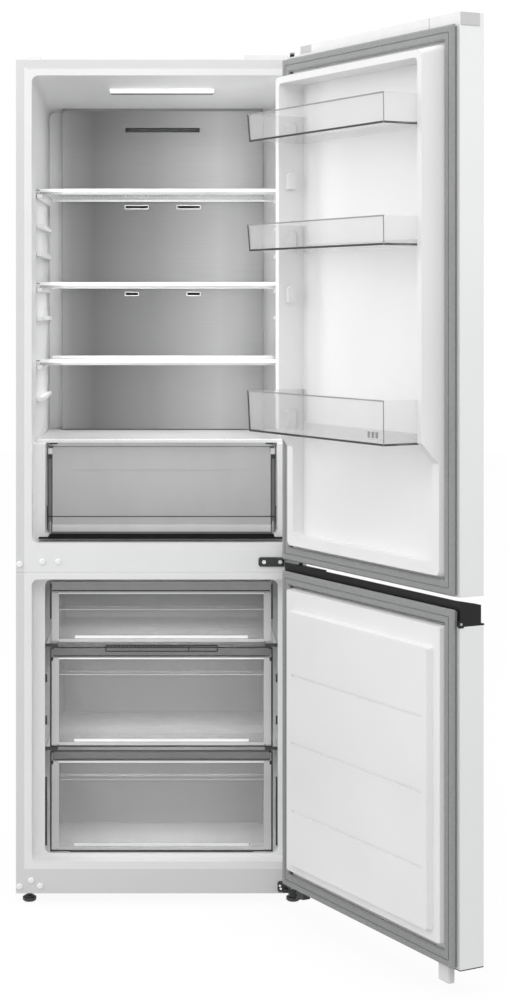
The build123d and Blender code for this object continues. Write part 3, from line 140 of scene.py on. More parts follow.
def moulded_abs(name, light, shade, rough=0.42, texture_mm=0.9, depth_mm=0.015, specular=0.5):
    # Injection moulded ABS: fine spark eroded grain that breaks up the highlight.
    fine = (texture_mm, 1)
    return surface(name, cloud=(40, 2), colours=(light, shade), grit=fine,
                   rough=(rough - 0.05, rough + 0.07), relief=fine, depth_mm=depth_mm, IOR=1.53,
                   Specular_IOR_Level=specular)[0]


def two_shot_abs(name, edge_height, below, above):
    # Two mouldings in one part: the colour changes at a height, where the dark closer block begins.
    fine = (0.9, 1)
    material, tree, shader = surface(name, grit=fine, rough=(0.36, 0.48), relief=fine, depth_mm=0.015,
                                     IOR=1.53)
    where = add(tree, "ShaderNodeTexCoord")
    point = add(tree, "ShaderNodeSeparateXYZ", {"Vector": where.outputs["Object"]})
    upper = add(tree, "ShaderNodeMath", {0: point.outputs["Z"], 1: edge_height},
                operation="GREATER_THAN")
    colour = add(tree, "ShaderNodeMix", {"Factor": upper.outputs["Value"], "A": linear(below),
                                         "B": linear(above)}, data_type="RGBA")
    tree.links.new(colour.outputs["Result"], shader.inputs["Base Color"])
    return material


def brushed_sheet():
    # Stainless look steel sheet, brushed across in fine hair lines. Its soft upright bands, a darker one
    # on the left and a light one on the right, are a painted reflection: a colour ramp along X.
    material, tree, shader = start("brushed_stainless_sheet", Metallic=1.0)
    where = add(tree, "ShaderNodeTexCoord")
    point = add(tree, "ShaderNodeSeparateXYZ", {"Vector": where.outputs["Object"]})
    half_width = 229 * MM
    across = add(tree, "ShaderNodeMapRange", {"Value": point.outputs["X"],
                                              "From Min": MIDDLE_X - half_width,
                                              "From Max": MIDDLE_X + half_width})
    # Painted reflection: the colour ramps across the width in soft bands, darker on the left and light on
    # the right.
    painted_reflection = add(tree, "ShaderNodeValToRGB", {"Fac": across.outputs["Result"]})
    painted_reflection_bands = [(0.0, "#a8a8a8"), (0.05, "#949494"), (0.16, "#7c7c7c"), (0.45, "#9c9c9c"),
             (0.78, "#c6c6c6"), (0.88, "#bebebe"), (1.0, "#a2a2a2")]
    ramp = painted_reflection.color_ramp
    while len(ramp.elements) < len(painted_reflection_bands):
        ramp.elements.new(0.5)
    for element, (position, colour) in zip(ramp.elements, painted_reflection_bands):
        element.position = position
        element.color = linear(colour)
    # The brushing runs along X, in lines about 1.4 mm apart: coarse, so that they show in a picture.
    drawn = add(tree, "ShaderNodeMapping", {"Vector": where.outputs["Object"], "Scale": (0.01, 1, 1)})
    noise = add(tree, "ShaderNodeTexNoise", {"Vector": drawn.outputs["Vector"], "Scale": 1000 / 1.4,
                                             "Detail": 3.0, "Roughness": 0.6})
    lines = noise.outputs["Fac"]
    faint = add(tree, "ShaderNodeMapRange", {"Value": lines, **NOISE_SPAN, "To Max": 0.12})
    hair = add(tree, "ShaderNodeMix", {"Factor": faint.outputs["Result"], "A": painted_reflection.outputs["Color"],
                                       "B": linear("#7f7f80")}, data_type="RGBA")
    gloss = add(tree, "ShaderNodeMapRange", {"Value": lines, **NOISE_SPAN, "To Min": 0.36,
                                             "To Max": 0.44})
    grooves = add(tree, "ShaderNodeBump", {"Height": lines, "Distance": 0.004 * MM})
    tree.links.new(hair.outputs["Result"], shader.inputs["Base Color"])
    tree.links.new(gloss.outputs["Result"], shader.inputs["Roughness"])
    tree.links.new(grooves.outputs["Normal"], shader.inputs["Normal"])
    return material


def zinc_plated_steel():
    # Zinc plated steel: grey metal with a faint spangle of grains 9 mm across.
    material, tree, shader = surface("zinc_plated_steel", grit=(5, 2), rough=(0.3, 0.46),
                                     relief=(3, 2), depth_mm=0.01, Metallic=1.0)
    where = add(tree, "ShaderNodeTexCoord")
    spangle = add(tree, "ShaderNodeTexVoronoi", {"Vector": where.outputs["Object"], "Scale": 1000 / 9})
    colour = add(tree, "ShaderNodeMix", {"Factor": spangle.outputs["Distance"], "A": linear("#bcbec0"),
                                         "B": linear("#a3a6a8")}, data_type="RGBA")
    tree.links.new(colour.outputs["Result"], shader.inputs["Base Color"])
    return material


def stove_enamel():
    # Black stove enamel on steel: dark with a low, even gloss.
    cloud = (12, 2)
    return surface("black_enamel", cloud=cloud, colours=("#2f3031", "#262728"), grit=cloud,
                   rough=(0.36, 0.46), relief=(1.5, 2), depth_mm=0.01, IOR=1.5)[0]


def clear_polystyrene(name, tint, shade, body, edge):
    # Clear injection moulded polystyrene: face on it hides as much as the body's share says, while
    # edges and slanted walls turn milky and catch highlights.
    flow = (60, 2, (1, 1, 0.4))
    material, tree, shader = surface(name, cloud=flow, colours=(tint, shade), grit=flow,
                                     rough=(0.08, 0.13), relief=flow, depth_mm=0.02, IOR=1.57)
    slant = add(tree, "ShaderNodeLayerWeight", {"Blend": 0.35})
    cover = add(tree, "ShaderNodeMapRange", {"Value": slant.outputs["Facing"], "To Min": body,
                                             "To Max": edge})
    tree.links.new(cover.outputs["Result"], shader.inputs["Alpha"])
    return material


def float_glass():
    # Toughened float glass: a faint tint with clean reflections, clear face on.
    ripple = (120, 2)
    material, tree, shader = surface("float_glass", cloud=ripple, colours=("#cdcfcf", "#cacdcc"),
                                     grit=ripple, rough=(0.08, 0.12), IOR=1.52)
    slant = add(tree, "ShaderNodeLayerWeight", {"Blend": 0.3})
    cover = add(tree, "ShaderNodeMapRange", {"Value": slant.outputs["Facing"], "To Min": 0.05,
                                             "To Max": 0.8})
    tree.links.new(cover.outputs["Result"], shader.inputs["Alpha"])
    return material


def ceramic_printed_glass():
    # Toughened glass with a white ceramic print below: a flat, pale ledge with a soft sheen.
    print_cloud = (200, 0)
    return surface("printed_glass", cloud=print_cloud, colours=("#c4c4c4", "#c2c2c2"),
                   grit=print_cloud, rough=(0.28, 0.34), IOR=1.52)[0]


def soft_vinyl():
    # Soft extruded vinyl: matt grey, with faint marks of the drag through the die.
    drag = (6, 2)
    return surface("soft_extruded_vinyl", cloud=drag, colours=("#969797", "#8f9090"), grit=drag,
                   rough=(0.5, 0.62), relief=drag, depth_mm=0.02, IOR=1.5)[0]


def lit_lens():
    # Opal polycarbonate lens: its lower front edge glows evenly, where the lamp lies behind it.
    material, tree, shader = surface("opal_polycarbonate", relief=(15, 2), depth_mm=0.02,
                                     Roughness=0.4, IOR=1.58, Emission_Color=linear("#fdfdff"))
    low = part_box("lamp_lens")[0]
    where = add(tree, "ShaderNodeTexCoord")
    point = add(tree, "ShaderNodeSeparateXYZ", {"Vector": where.outputs["Object"]})
    below = add(tree, "ShaderNodeMath", {0: point.outputs["Z"], 1: low.z + 6 * MM},
                operation="LESS_THAN")
    ahead = add(tree, "ShaderNodeMath", {0: point.outputs["Y"], 1: low.y + 21 * MM},
                operation="LESS_THAN")
    lit = add(tree, "ShaderNodeMath", {0: below.outputs["Value"], 1: ahead.outputs["Value"]},
              operation="MULTIPLY")
    colour = add(tree, "ShaderNodeMix", {"Factor": lit.outputs["Value"], "A": linear("#7c7c7c"),
                                         "B": linear("#f0f0f0")}, data_type="RGBA")
    tree.links.new(lit.outputs["Value"], shader.inputs["Emission Strength"])
    tree.links.new(colour.outputs["Result"], shader.inputs["Base Color"])
    return material


def rigid_foam(name, light, shade):
    # Rigid foam: matt, with closed cells 2.5 mm across that pit the surface.
    material, tree, shader = start(name, Roughness=0.9, IOR=1.4)
    where = add(tree, "ShaderNodeTexCoord")
    cells = add(tree, "ShaderNodeTexVoronoi", {"Vector": where.outputs["Object"], "Scale": 1000 / 2.5})
    colour = add(tree, "ShaderNodeMix", {"Factor": cells.outputs["Distance"], "A": linear(shade),
                                         "B": linear(light)}, data_type="RGBA")
    pits = add(tree, "ShaderNodeBump", {"Height": cells.outputs["Distance"], "Distance": 0.4 * MM})
    tree.links.new(colour.outputs["Result"], shader.inputs["Base Color"])
    tree.links.new(pits.outputs["Normal"], shader.inputs["Normal"])
    return material


def bare_metal(name, light, shade, rough):
    # Drawn or rolled bare metal: even sheen with faint drawing marks.
    marks = (2, 2, (0.1, 1, 1))
    return surface(name, cloud=marks, colours=(light, shade), grit=marks,
                   rough=(rough - 0.06, rough + 0.08), Metallic=1.0)[0]


def nitrile_rubber():
    # Moulded black rubber: matt and dusty.
    dust = (4, 2)
    return surface("nitrile_rubber", cloud=dust, colours=("#202122", "#2a2b2c"), relief=dust,
                   depth_mm=0.03, Roughness=0.75, IOR=1.5)[0]


# The dark closer block hangs below the skin of the lower door.
closer_block_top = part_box("lower_door_skin")[0].z

enamel = powder_coated_steel("powder_coated_steel", "#eff0f0", "#edeeee")
cabinet_enamel = powder_coated_steel("cabinet_powder_coated_steel", "#dfdfdf", "#dddddd")
liner_white = vacuum_formed_polystyrene("vacuum_formed_polystyrene", "#f1f1f1", "#eeeeee")
panel_white = vacuum_formed_polystyrene("grey_white_polystyrene", "#dcdcdc", "#d8d8d8")
white_abs = moulded_abs("white_abs", "#efefef", "#ebebeb")
cap_grey = moulded_abs("cap_grey_abs", "#cacaca", "#c4c4c4")
cap_white = moulded_abs("cap_white_abs", "#fbfbfb", "#f8f8f8", rough=0.3)
trim_white = moulded_abs("white_trim_abs", "#f0f0f0", "#eaeaea", rough=0.25, texture_mm=4.0,
                         depth_mm=0.008)
# Smoke grey ABS of the crisper front; also painted shade in the gaps below its rim and above the duct.
smoke_abs_and_gap_shade = moulded_abs("smoke_grey_abs_and_painted_gap_shade", "#858586", "#7d7d7e", rough=0.3)
slider_abs = moulded_abs("slider_abs", "#6a6a6b", "#646465", rough=0.35)
# Dark grey ABS of the feet, rollers, fan motor and hooks, also used as painted shadow in the freezer.
dark_abs_and_gap_shadow = moulded_abs("dark_grey_abs_and_painted_gap_shadow", "#37383a", "#303133")
black_abs = moulded_abs("black_abs", "#0b0b0c", "#0f0f10", rough=0.5, specular=0.3)
# Painted shadow: matt black for sheets in the dark gaps beside and below the crisper.
painted_gap_shadow = moulded_abs("painted_gap_shadow_black", "#0b0b0c", "#0f0f10", rough=0.8, specular=0.05)
closer_abs = two_shot_abs("white_and_black_abs", closer_block_top, "#151617", "#eeeeee")
duct_metal = brushed_sheet()
zinc = zinc_plated_steel()
black_steel = stove_enamel()
drawer_clear = clear_polystyrene("clear_drawer_polystyrene", "#c9c9c9", "#bfbfbf", 0.13, 0.6)
crisper_clear = clear_polystyrene("clear_crisper_polystyrene", "#dcdcdc", "#d2d2d2", 0.2, 0.6)
crisper_pane = clear_polystyrene("thick_clear_crisper_polystyrene", "#e4e4e4", "#dfdfdf", 0.5, 0.8)
balcony_clear = clear_polystyrene("clear_balcony_polystyrene", "#e2e2e2", "#dadada", 0.09, 0.5)
milky_edge = clear_polystyrene("milky_polystyrene_edge", "#e2e2e2", "#d8d8d8", 0.5, 0.85)
pale_edge = clear_polystyrene("pale_polystyrene_edge", "#f4f4f4", "#eeeeee", 0.75, 0.9)
# Grey for the joints in the upper door's cap, and painted shade on the lower lip of each shelf trim.
joint_grey_and_trim_shade = clear_polystyrene("joint_grey_and_painted_trim_shade", "#b4b4b4", "#acacac", 0.8, 0.95)
# Painted highlight: a nearly opaque white for the bright lines and bands on clear fronts.
painted_highlight = clear_polystyrene("painted_highlight_polystyrene", "#fafafa", "#f0f0f0", 0.9, 0.98)
faint_edge = clear_polystyrene("faint_polystyrene_edge", "#ebebeb", "#e2e2e2", 0.4, 0.7)
# Painted shade: the dark lines along edges and corners of the clear crisper and balcony fronts.
painted_edge_shade = clear_polystyrene("painted_edge_shade_polystyrene", "#2a2a2b", "#242425", 0.88, 0.96)
# Painted sheen: the lighter bands where a clear drawer's side walls show slanting through its front.
painted_side_sheen = clear_polystyrene("painted_side_sheen_polystyrene", "#d8d8d8", "#d0d0d0", 0.72, 0.92)
# Grey for the joint line under the crisper cover, and painted shade for the grey edges of balconies.
joint_line_and_edge_shade = clear_polystyrene("joint_line_and_painted_edge_shade", "#a6a6a6", "#9e9e9e", 0.7, 0.9)
# Painted shade on the slanted grip band of a clear drawer: lighter on the top drawer, darker below.
lighter_grip_shade = clear_polystyrene("lighter_painted_grip_shade_polystyrene", "#c0c0c0", "#b8b8b8", 0.6, 0.8)
grip_shade = clear_polystyrene("shaded_grip_polystyrene", "#848484", "#7c7c7c", 0.55, 0.8)
# Black for the toothed strip under the top drawer, and painted shade for the dark drawer outlines.
black_strip_and_outline_shade = clear_polystyrene("black_strip_and_painted_outline_shade", "#161617", "#121213", 0.94, 0.98)
grey_edge = clear_polystyrene("grey_polystyrene_edge", "#787878", "#707070", 0.6, 0.85)
glass = float_glass()
printed_glass = ceramic_printed_glass()
seal = soft_vinyl()
lens = lit_lens()
foam = rigid_foam("polyurethane_foam", "#e9dfb8", "#dccf9f")
duct_foam = rigid_foam("graphite_polystyrene", "#8c8d8e", "#828384")
aluminium = bare_metal("rolled_aluminium", "#d6d8da", "#c4c7ca", 0.32)
bright_steel = bare_metal("bright_zinc_steel", "#e4e5e6", "#d6d7d8", 0.25)
copper = bare_metal("drawn_copper", "#c98a62", "#b67449", 0.3)
rubber = nitrile_rubber()

finishes = {
    enamel: ["middle_rail", "upper_door_skin", "lower_door_skin"],
    cabinet_enamel: ["outer_shell", "bottom_rail", "top_hinge"],
    liner_white: ["fridge_liner", "freezer_liner", "upper_door_liner", "lower_door_liner"],
    panel_white: ["freezer_duct_panel"],
    white_abs: ["top_hinge_cover", "blank_plugs", "upper_door_top_cap", "lower_door_stop",
                "upper_door_bottom_cap", "crisper_rails", "air_damper"],
    trim_white: ["shelf_trims"],
    closer_abs: ["lower_door_bottom_cap"],
    smoke_abs_and_gap_shade: ["crisper_front"],
    dark_abs_and_gap_shadow: ["front_left_foot", "front_right_foot", "rear_left_roller", "rear_right_roller",
               "fan_motor"],
    black_abs: ["lower_door_handle_cap", "drip_tray", "evaporator_fan"],
    duct_metal: ["duct_cover"],
    zinc: ["back_panel", "compressor_deck", "compressor_plate", "machine_cover"],
    bright_steel: ["hinge_screws"],
    black_steel: ["middle_hinge", "bottom_hinge", "compressor"],
    drawer_clear: FREEZER_DRAWERS,
    crisper_clear: ["crisper_drawer"],
    balcony_clear: BALCONIES,
    glass: SHELVES,
    printed_glass: ["crisper_cover"],
    seal: ["upper_door_gasket", "lower_door_gasket"],
    lens: ["lamp_lens"],
    foam: ["cabinet_foam", "upper_door_foam", "lower_door_foam"],
    duct_foam: ["air_duct"],
    aluminium: ["evaporator"],
    copper: ["refrigerant_pipes"],
    rubber: ["compressor_grommets"],
}
for material, names in finishes.items():
    for name in names:
        nodes[name].data.materials.clear()
        nodes[name].data.materials.append(material)


# Pieces

def span(place, first_mm, second_mm):
    """Two values, at these distances in mm from a place."""
    return place + first_mm * MM, place + second_mm * MM


def inside(low, high, margin_mm):
    """The stretch between two values, shorter by a margin in mm at both ends."""
    return low + margin_mm * MM, high - margin_mm * MM


def bar(form, x, y, z, rounding=0.4, lean=(0, 0)):
    """A bar between two values in each direction, with its edges rounded by a radius in mm.

    The lean moves its top along X and Y.
    """
    made = bmesh.ops.create_cube(form, size=1.0)["verts"]
    spans = [sorted(pair) for pair in (x, y, z)]
    bmesh.ops.scale(form, vec=[high - low for low, high in spans], verts=made)
    bmesh.ops.translate(form, vec=[(high + low) / 2 for low, high in spans], verts=made)
    upper = [vert for vert in made if vert.co.z > sum(spans[2]) / 2]
    bmesh.ops.translate(form, vec=(lean[0], lean[1], 0), verts=upper)
    edges = list({edge for vert in made for edge in vert.link_edges})
    bmesh.ops.bevel(form, geom=edges, offset=rounding * MM, affect="EDGES", segments=2, profile=0.5,
                    material=-1, clamp_overlap=True)


def swing(form):
    """Turns a piece that was made on the shut door to where the open door stands."""
    bmesh.ops.rotate(form, cent=PIN, matrix=Matrix.Rotation(DOOR_OPEN, 3, "Z"), verts=form.verts)


def finish(name, form, material, body):
    """A piece from a finished mesh, riding on a body, with its faces pointing outwards."""
    bmesh.ops.recalc_face_normals(form, faces=form.faces)
    mesh = bpy.data.meshes.new(name)
    form.to_mesh(mesh)
    form.free()
    mesh.materials.append(material)
    piece = bpy.data.objects.new(name, mesh)
    bpy.context.scene.collection.objects.link(piece)
    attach(piece, body)


def freezer_drawer_edges(name, rib_drop, floor_margin):
    """Painted highlight and shade: the lines a clear drawer's thick and thin places show from the front.
    """
    low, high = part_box(name)
    skin = span(low.y, -0.7, 0.6)
    window = inside(low.x, high.x, 18)
    grip = high.z - 17 * MM
    # Only the two lower drawers have a dark outline of painted shade round the whole front.
    outlined = name != "top_freezer_drawer"
    # Painted highlights: the bright line below the grip and the one above the floor.
    bright = bmesh.new()
    bar(bright, window, skin, span(grip, -8, -5))
    bar(bright, inside(low.x, high.x, floor_margin), skin, span(low.z, 10, 16), 1.5)
    finish(name + "_painted_highlights", bright, painted_highlight, name)

    # Painted shade: the dark lines at the grip, at both ends and, on the lower drawers, all round.
    dark = bmesh.new()
    bar(dark, inside(low.x, high.x, 6), skin, span(grip, -2, 0))
    rim_low = low.z - 0.5 * MM if outlined else low.z + 50 * MM
    for end, inward in ((low.x, 1), (high.x, -1)):
        bar(dark, span(end, inward * 0.3, inward * 3.3), skin, (rim_low, high.z - 3 * MM))
    if outlined:
        bar(dark, inside(low.x, high.x, 3), skin, span(high.z, -2.2, 0.6))
        bar(dark, inside(low.x, high.x, 0.5), skin, span(low.z, -0.8, 2))
        for end, inward in ((low.x, 1), (high.x, -1)):
            bar(dark, span(end, inward * 1, inward * 9), skin, span(high.z, -4.4, -0.6), 0.6)
            bar(dark, span(end, inward * 3, inward * 7.5), skin, span(grip, -12, -4), 0.6)
    finish(name + "_dark_edges", dark, black_strip_and_outline_shade, name)

    # Painted sheen: the lighter bands at both ends and above the floor.
    sides = bmesh.new()
    for end, inward in ((low.x, 1), (high.x, -1)):
        bar(sides, span(end, inward * 4, inward * 19), skin, (low.z + 5 * MM, grip - 5 * MM), 0.5)
    bar(sides, window, skin, span(low.z, 3, 9))
    finish(name + "_painted_side_sheen", sides, painted_side_sheen, name)

    # Painted shade on the slanted grip band, lighter on the top drawer.
    band = bmesh.new()
    bar(band, inside(low.x, high.x, 5), skin, (grip + 0.5 * MM, high.z - 3 * MM))
    finish(name + "_grip_band", band, grip_shade if outlined else lighter_grip_shade, name)

    lines = bmesh.new()
    bar(lines, window, skin, span(high.z, -rib_drop - 0.8, -rib_drop + 0.8), 0.3)
    if not outlined:
        bar(lines, inside(low.x, high.x, 2), skin, span(high.z, -3, -0.4), 0.3)
        bar(lines, inside(low.x, high.x, 4), skin, span(grip, -3.6, -2.2), 0.3)
    finish(name + "_ribs", lines, faint_edge, name)


def freezer_gap_shadows():
    """Painted shadow: dark strips on the freezer's walls beside, between and below the drawers."""
    top_low, middle_low, bottom_low = [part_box(drawer)[0].z for drawer in FREEZER_DRAWERS]
    middle_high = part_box("middle_freezer_drawer")[1].z
    bottom_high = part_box("bottom_freezer_drawer")[1].z
    shadow_bands = (span(middle_high, -73, -56), span(middle_high, -161, -143), span(bottom_high, -197, -55))
    depth = span(FRONT_Y, 49, 53)
    marks = bmesh.new()
    for inward in (1, -1):
        wall = MIDDLE_X - inward * 240.6 * MM
        for guide in shadow_bands:
            bar(marks, span(wall, 0, inward * 3.6), depth, guide, 0.5)
        for drawer_low in (top_low, middle_low):
            bar(marks, span(wall, 0, inward * 26), span(FRONT_Y, 49, 51.6), span(drawer_low, -7.6, -0.8),
                0.5)
    bar(marks, span(MIDDLE_X, -190, 190), depth, span(bottom_low, -5, -1.4), 0.5)
    finish("freezer_gap_shadows", marks, dark_abs_and_gap_shadow, "cabinet")


def drawer_label_slider():
    """The toothed strip with its slider, under the front of the top drawer."""
    low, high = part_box("middle_freezer_drawer")
    left = MIDDLE_X - 116 * MM
    right = MIDDLE_X + 117 * MM
    depth = span(low.y, -1, 6)
    border = 2.4
    strip = bmesh.new()
    bar(strip, (left, right), depth, span(high.z, 1.6, 4))
    bar(strip, (left, right), depth, span(high.z, -9.8, -7.4))
    for x in (left, MIDDLE_X + 55 * MM, right - border * MM):
        bar(strip, span(x, 0, border), depth, span(high.z, -8, 2))
    teeth = 20
    pitch = 163 * MM / teeth
    for i in range(teeth):
        bar(strip, span(left + (i + 0.5) * pitch, -2, 2), depth, span(high.z, -0.8, 1.9))
    finish("drawer_slider_strip", strip, black_strip_and_outline_shade, "middle_freezer_drawer")
    plate = bmesh.new()
    bar(plate, inside(left, right, 1), span(low.y, -0.4, 6), span(high.z, -8.5, 2.5), 0.3)
    finish("drawer_slider_plate", plate, slider_abs, "middle_freezer_drawer")


def crisper_details():
    """The crisper front's window, edges and hooks, and black painted shadow in the gaps beside and below
    it.
    """
    low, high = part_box("crisper_front")
    left, right = low.x, high.x
    ends = ((left, 1), (right, -1))
    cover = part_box("crisper_cover")[0].z
    # The posts at both ends are 10 mm wide. The face lies on the front, and the skin before it.
    post = 10
    between = inside(left, right, post)
    face = span(low.y, -0.6, 2)
    skin = span(low.y, -1.4, -0.2)
    pane = bmesh.new()
    bar(pane, between, face, (low.z + 2 * MM, cover - 9 * MM), 0.5)
    finish("crisper_window", pane, crisper_pane, "crisper")

    # Painted shade: the dark line across the front and the dark edges of both posts.
    dark = bmesh.new()
    bar(dark, inside(left, right, 2), skin, span(low.z, 33.5, 35.3))
    for end, inward in ends:
        for first, second in ((0.4, 1.8), (post - 1.4, post)):
            bar(dark, span(end, inward * first, inward * second), skin, (low.z + 20 * MM, cover - 34 * MM))
    finish("crisper_dark_edges", dark, painted_edge_shade, "crisper")

    # Painted highlights: the pale bands at the foot and top of the window and on the posts.
    pale = bmesh.new()
    bar(pale, between, skin, span(low.z, 2.4, 17), 0.8)
    bar(pale, between, face, span(cover, -8, -0.8), 0.5)
    for end, inward in ends:
        bar(pale, span(end, inward * 1, inward * post), face, span(cover, -26, -11), 0.8)
    finish("crisper_bottom_step", pale, painted_highlight, "crisper")

    rib = bmesh.new()
    bar(rib, inside(left, right, 52), skin, span(cover, -58.5, -57))
    finish("crisper_rib", rib, milky_edge, "crisper")

    rim = bmesh.new()
    bar(rim, inside(left, right, 6), skin, span(low.z, -5.2, -2.6), 0.8)
    for end, inward in ends:
        bar(rim, span(end, inward * 4.5, inward * 6.5), skin, span(low.z, -4, 24), 0.8)
    finish("crisper_bottom_rim", rim, pale_edge, "crisper")

    # Painted shade in the gap under the crisper's rim.
    gap = bmesh.new()
    bar(gap, inside(left, right, 7), skin, span(low.z, -2.2, -0.2), 0.5)
    finish("crisper_rim_shade", gap, smoke_abs_and_gap_shade, "crisper")

    # Painted shadow: black sheets in the gaps between the crisper's ends and the liner.
    shades = bmesh.new()
    for end, inward in ends:
        bar(shades, span(end, inward * -0.8, inward * -6), span(low.y, 2, 12), span(low.z, -4, 56), 0.4)
    finish("crisper_side_shades", shades, painted_gap_shadow, "cabinet")

    line = bmesh.new()
    bar(line, between, skin, span(cover, -9.6, -8))
    finish("crisper_top_line", line, joint_line_and_edge_shade, "crisper")

    hooks = bmesh.new()
    for end, inward in ends:
        bar(hooks, span(end, inward * 5, inward * 21), span(low.y, -8, 2), span(cover, -3.6, -0.8), 0.6)
        bar(hooks, span(end, inward * 3, inward * 12), span(low.y, -3, 2), span(cover, -12, -8.5), 0.8)
        bar(hooks, span(end, inward * 1.5, inward * 10), span(low.y, -3, 2), span(cover, -34, -25), 0.8)
    finish("crisper_hooks", hooks, dark_abs_and_gap_shadow, "crisper")

    # Painted shadow: a black sheet on the floor before the crisper, where the gap below it is dark.
    floor_shadow = bmesh.new()
    drawer_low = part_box("crisper_drawer")[0].z
    bar(floor_shadow, inside(left, right, -14), (FRONT_Y + 16 * MM, low.y + 60 * MM),
        span(drawer_low, -6, -4.6), 0.3)
    finish("crisper_floor_shadow", floor_shadow, painted_gap_shadow, "cabinet")


def balcony_edges(name):
    """A clear balcony's edges as painted shade: dark below and at its front's corners, grey along its top.
    """
    low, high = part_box(name)
    height = (low.z, high.z)
    under = span(low.z, -0.6, 3.4)
    # The walls lean out by the draft towards the top. Below the free end the edge draws in by the
    # splay towards the door.
    draft = 3 * MM
    splay = 4 * MM
    half = 237 * MM
    front = FRONT_Y + 110 * MM
    back = FRONT_Y - 15 * MM
    foot = front - draft
    free_end = MIDDLE_X - half + draft
    hinge_end = MIDDLE_X + half - draft
    # Painted shade: the dark edges below the front and below the free end, and the dark corner at the
    # hinge end.
    dark = bmesh.new()
    bar(dark, (free_end, hinge_end), span(foot, -2, 0.5), under, 0.8)
    # The edge below the free end is parted where the slot for the door's lug crosses it.
    slot_back, slot_front = span(FRONT_Y, 2.5, 23.5)
    before = len(dark.verts)
    for stretch in ((back + 4 * MM, slot_back), (slot_front, foot)):
        bar(dark, span(free_end, -0.4, 2), stretch, under, 0.8)
    dark.verts.ensure_lookup_table()
    for vert in dark.verts[before:]:
        vert.co.x += splay * (foot - vert.co.y) / (foot - back)
    bar(dark, span(hinge_end, -1.95, 0.8), span(foot, -1.95, 0.8), height, 0.5, (draft, draft))
    swing(dark)
    finish(name + "_dark_edges", dark, painted_edge_shade, name)

    # Painted shade: the grey corner at the free end, the grey top edge and the grey back corner.
    grey = bmesh.new()
    bar(grey, span(free_end, -0.4, 1.3), span(foot, -1.3, 0.4), height, 0.5, (-draft, draft))
    bar(grey, (MIDDLE_X - half, MIDDLE_X + half), span(front, -2.4, 0.4), span(high.z, -2.2, 0.4), 0.5)
    back_corner = MIDDLE_X + half - 6 * MM
    bar(grey, span(back_corner, -1.3, 0.3), span(back, -0.3, 1.3), height, 0.5, (draft / 2, 0))
    swing(grey)
    finish(name + "_grey_edges", grey, joint_line_and_edge_shade, name)


def balcony_ribs():
    """Three short ribs low on the front of the lowest balcony."""
    floor_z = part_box("bottom_balcony")[0].z
    ribs = bmesh.new()
    for middle in (-209, -196.5, -184):
        bar(ribs, span(MIDDLE_X, middle - 1.2, middle + 1.2), span(FRONT_Y, 102, 107),
            span(floor_z, 12, 23), 0.6)
    swing(ribs)
    finish("bottom_balcony_ribs", ribs, grey_edge, "bottom_balcony")


def vent_frames():
    """The narrow rims of the four lower air vents in the duct cover."""
    depth = span(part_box("duct_cover")[0].y, -1, 0.3)
    rim = 1.8
    frames = bmesh.new()
    for shelf, length in (("upper_shelf", 51), ("middle_shelf", 28.5)):
        vent_low, vent_top = span(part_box(shelf)[0].z, -17, -11)
        for side in (-1, 1):
            outer = MIDDLE_X + side * 84.5 * MM
            inner = outer - side * length * MM
            for z in (vent_top, vent_low - rim * MM):
                bar(frames, (inner - side * rim * MM, outer + side * rim * MM), depth, span(z, 0, rim))
            for x in (outer, inner - side * rim * MM):
                bar(frames, span(x, 0, side * rim), depth, inside(vent_low, vent_top, -rim))
    finish("duct_vent_frames", frames, trim_white, "cabinet")


def shelf_clips():
    """The small dark clips at the left end of each shelf."""
    wall = MIDDLE_X - 265.5 * MM
    clips = bmesh.new()
    for shelf in SHELVES:
        shelf_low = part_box(shelf)[0].z
        bar(clips, span(wall, 0, 8), span(FRONT_Y, 118, 126), span(shelf_low, 5, 7), 0.6, (0, 2 * MM))
    finish("shelf_clips", clips, grey_edge, "cabinet")


def shelf_trim_lips():
    """The lower half of each shelf's front trim, a clear lip, in grey as painted shade."""
    lips = bmesh.new()
    for shelf in SHELVES:
        low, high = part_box(shelf)
        bar(lips, (low.x, high.x), span(FRONT_Y, 119.4, 121), span(low.z, -3, 2.2), 0.3)
    finish("shelf_trim_lips", lips, joint_grey_and_trim_shade, "cabinet")


def duct_top_shadow_strip():
    """A grey strip in the gap between the duct cover and the ceiling, as a painted shadow line."""
    low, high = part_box("duct_cover")
    strip = bmesh.new()
    bar(strip, inside(low.x, high.x, 2), span(low.y, 2, 12), span(high.z, -2, 10), 0.4)
    finish("duct_top_shadow_strip", strip, smoke_abs_and_gap_shade, "cabinet")


def cabinet_seams():
    """The joints between the front flanges of the steel shell and of the plastic liner."""
    low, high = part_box("outer_shell")
    depth = span(FRONT_Y, -0.35, 0.4)
    rail_joint = 677.1 * MM
    top_joint = 1708.2 * MM
    seams = bmesh.new()
    bar(seams, (low.x + 1 * MM, high.x - 8 * MM), depth, span(rail_joint, 0, 1), 0.2)
    bar(seams, inside(low.x, high.x, 22), depth, span(top_joint, 0, 0.8), 0.2)
    finish("cabinet_seams", seams, faint_edge, "cabinet")


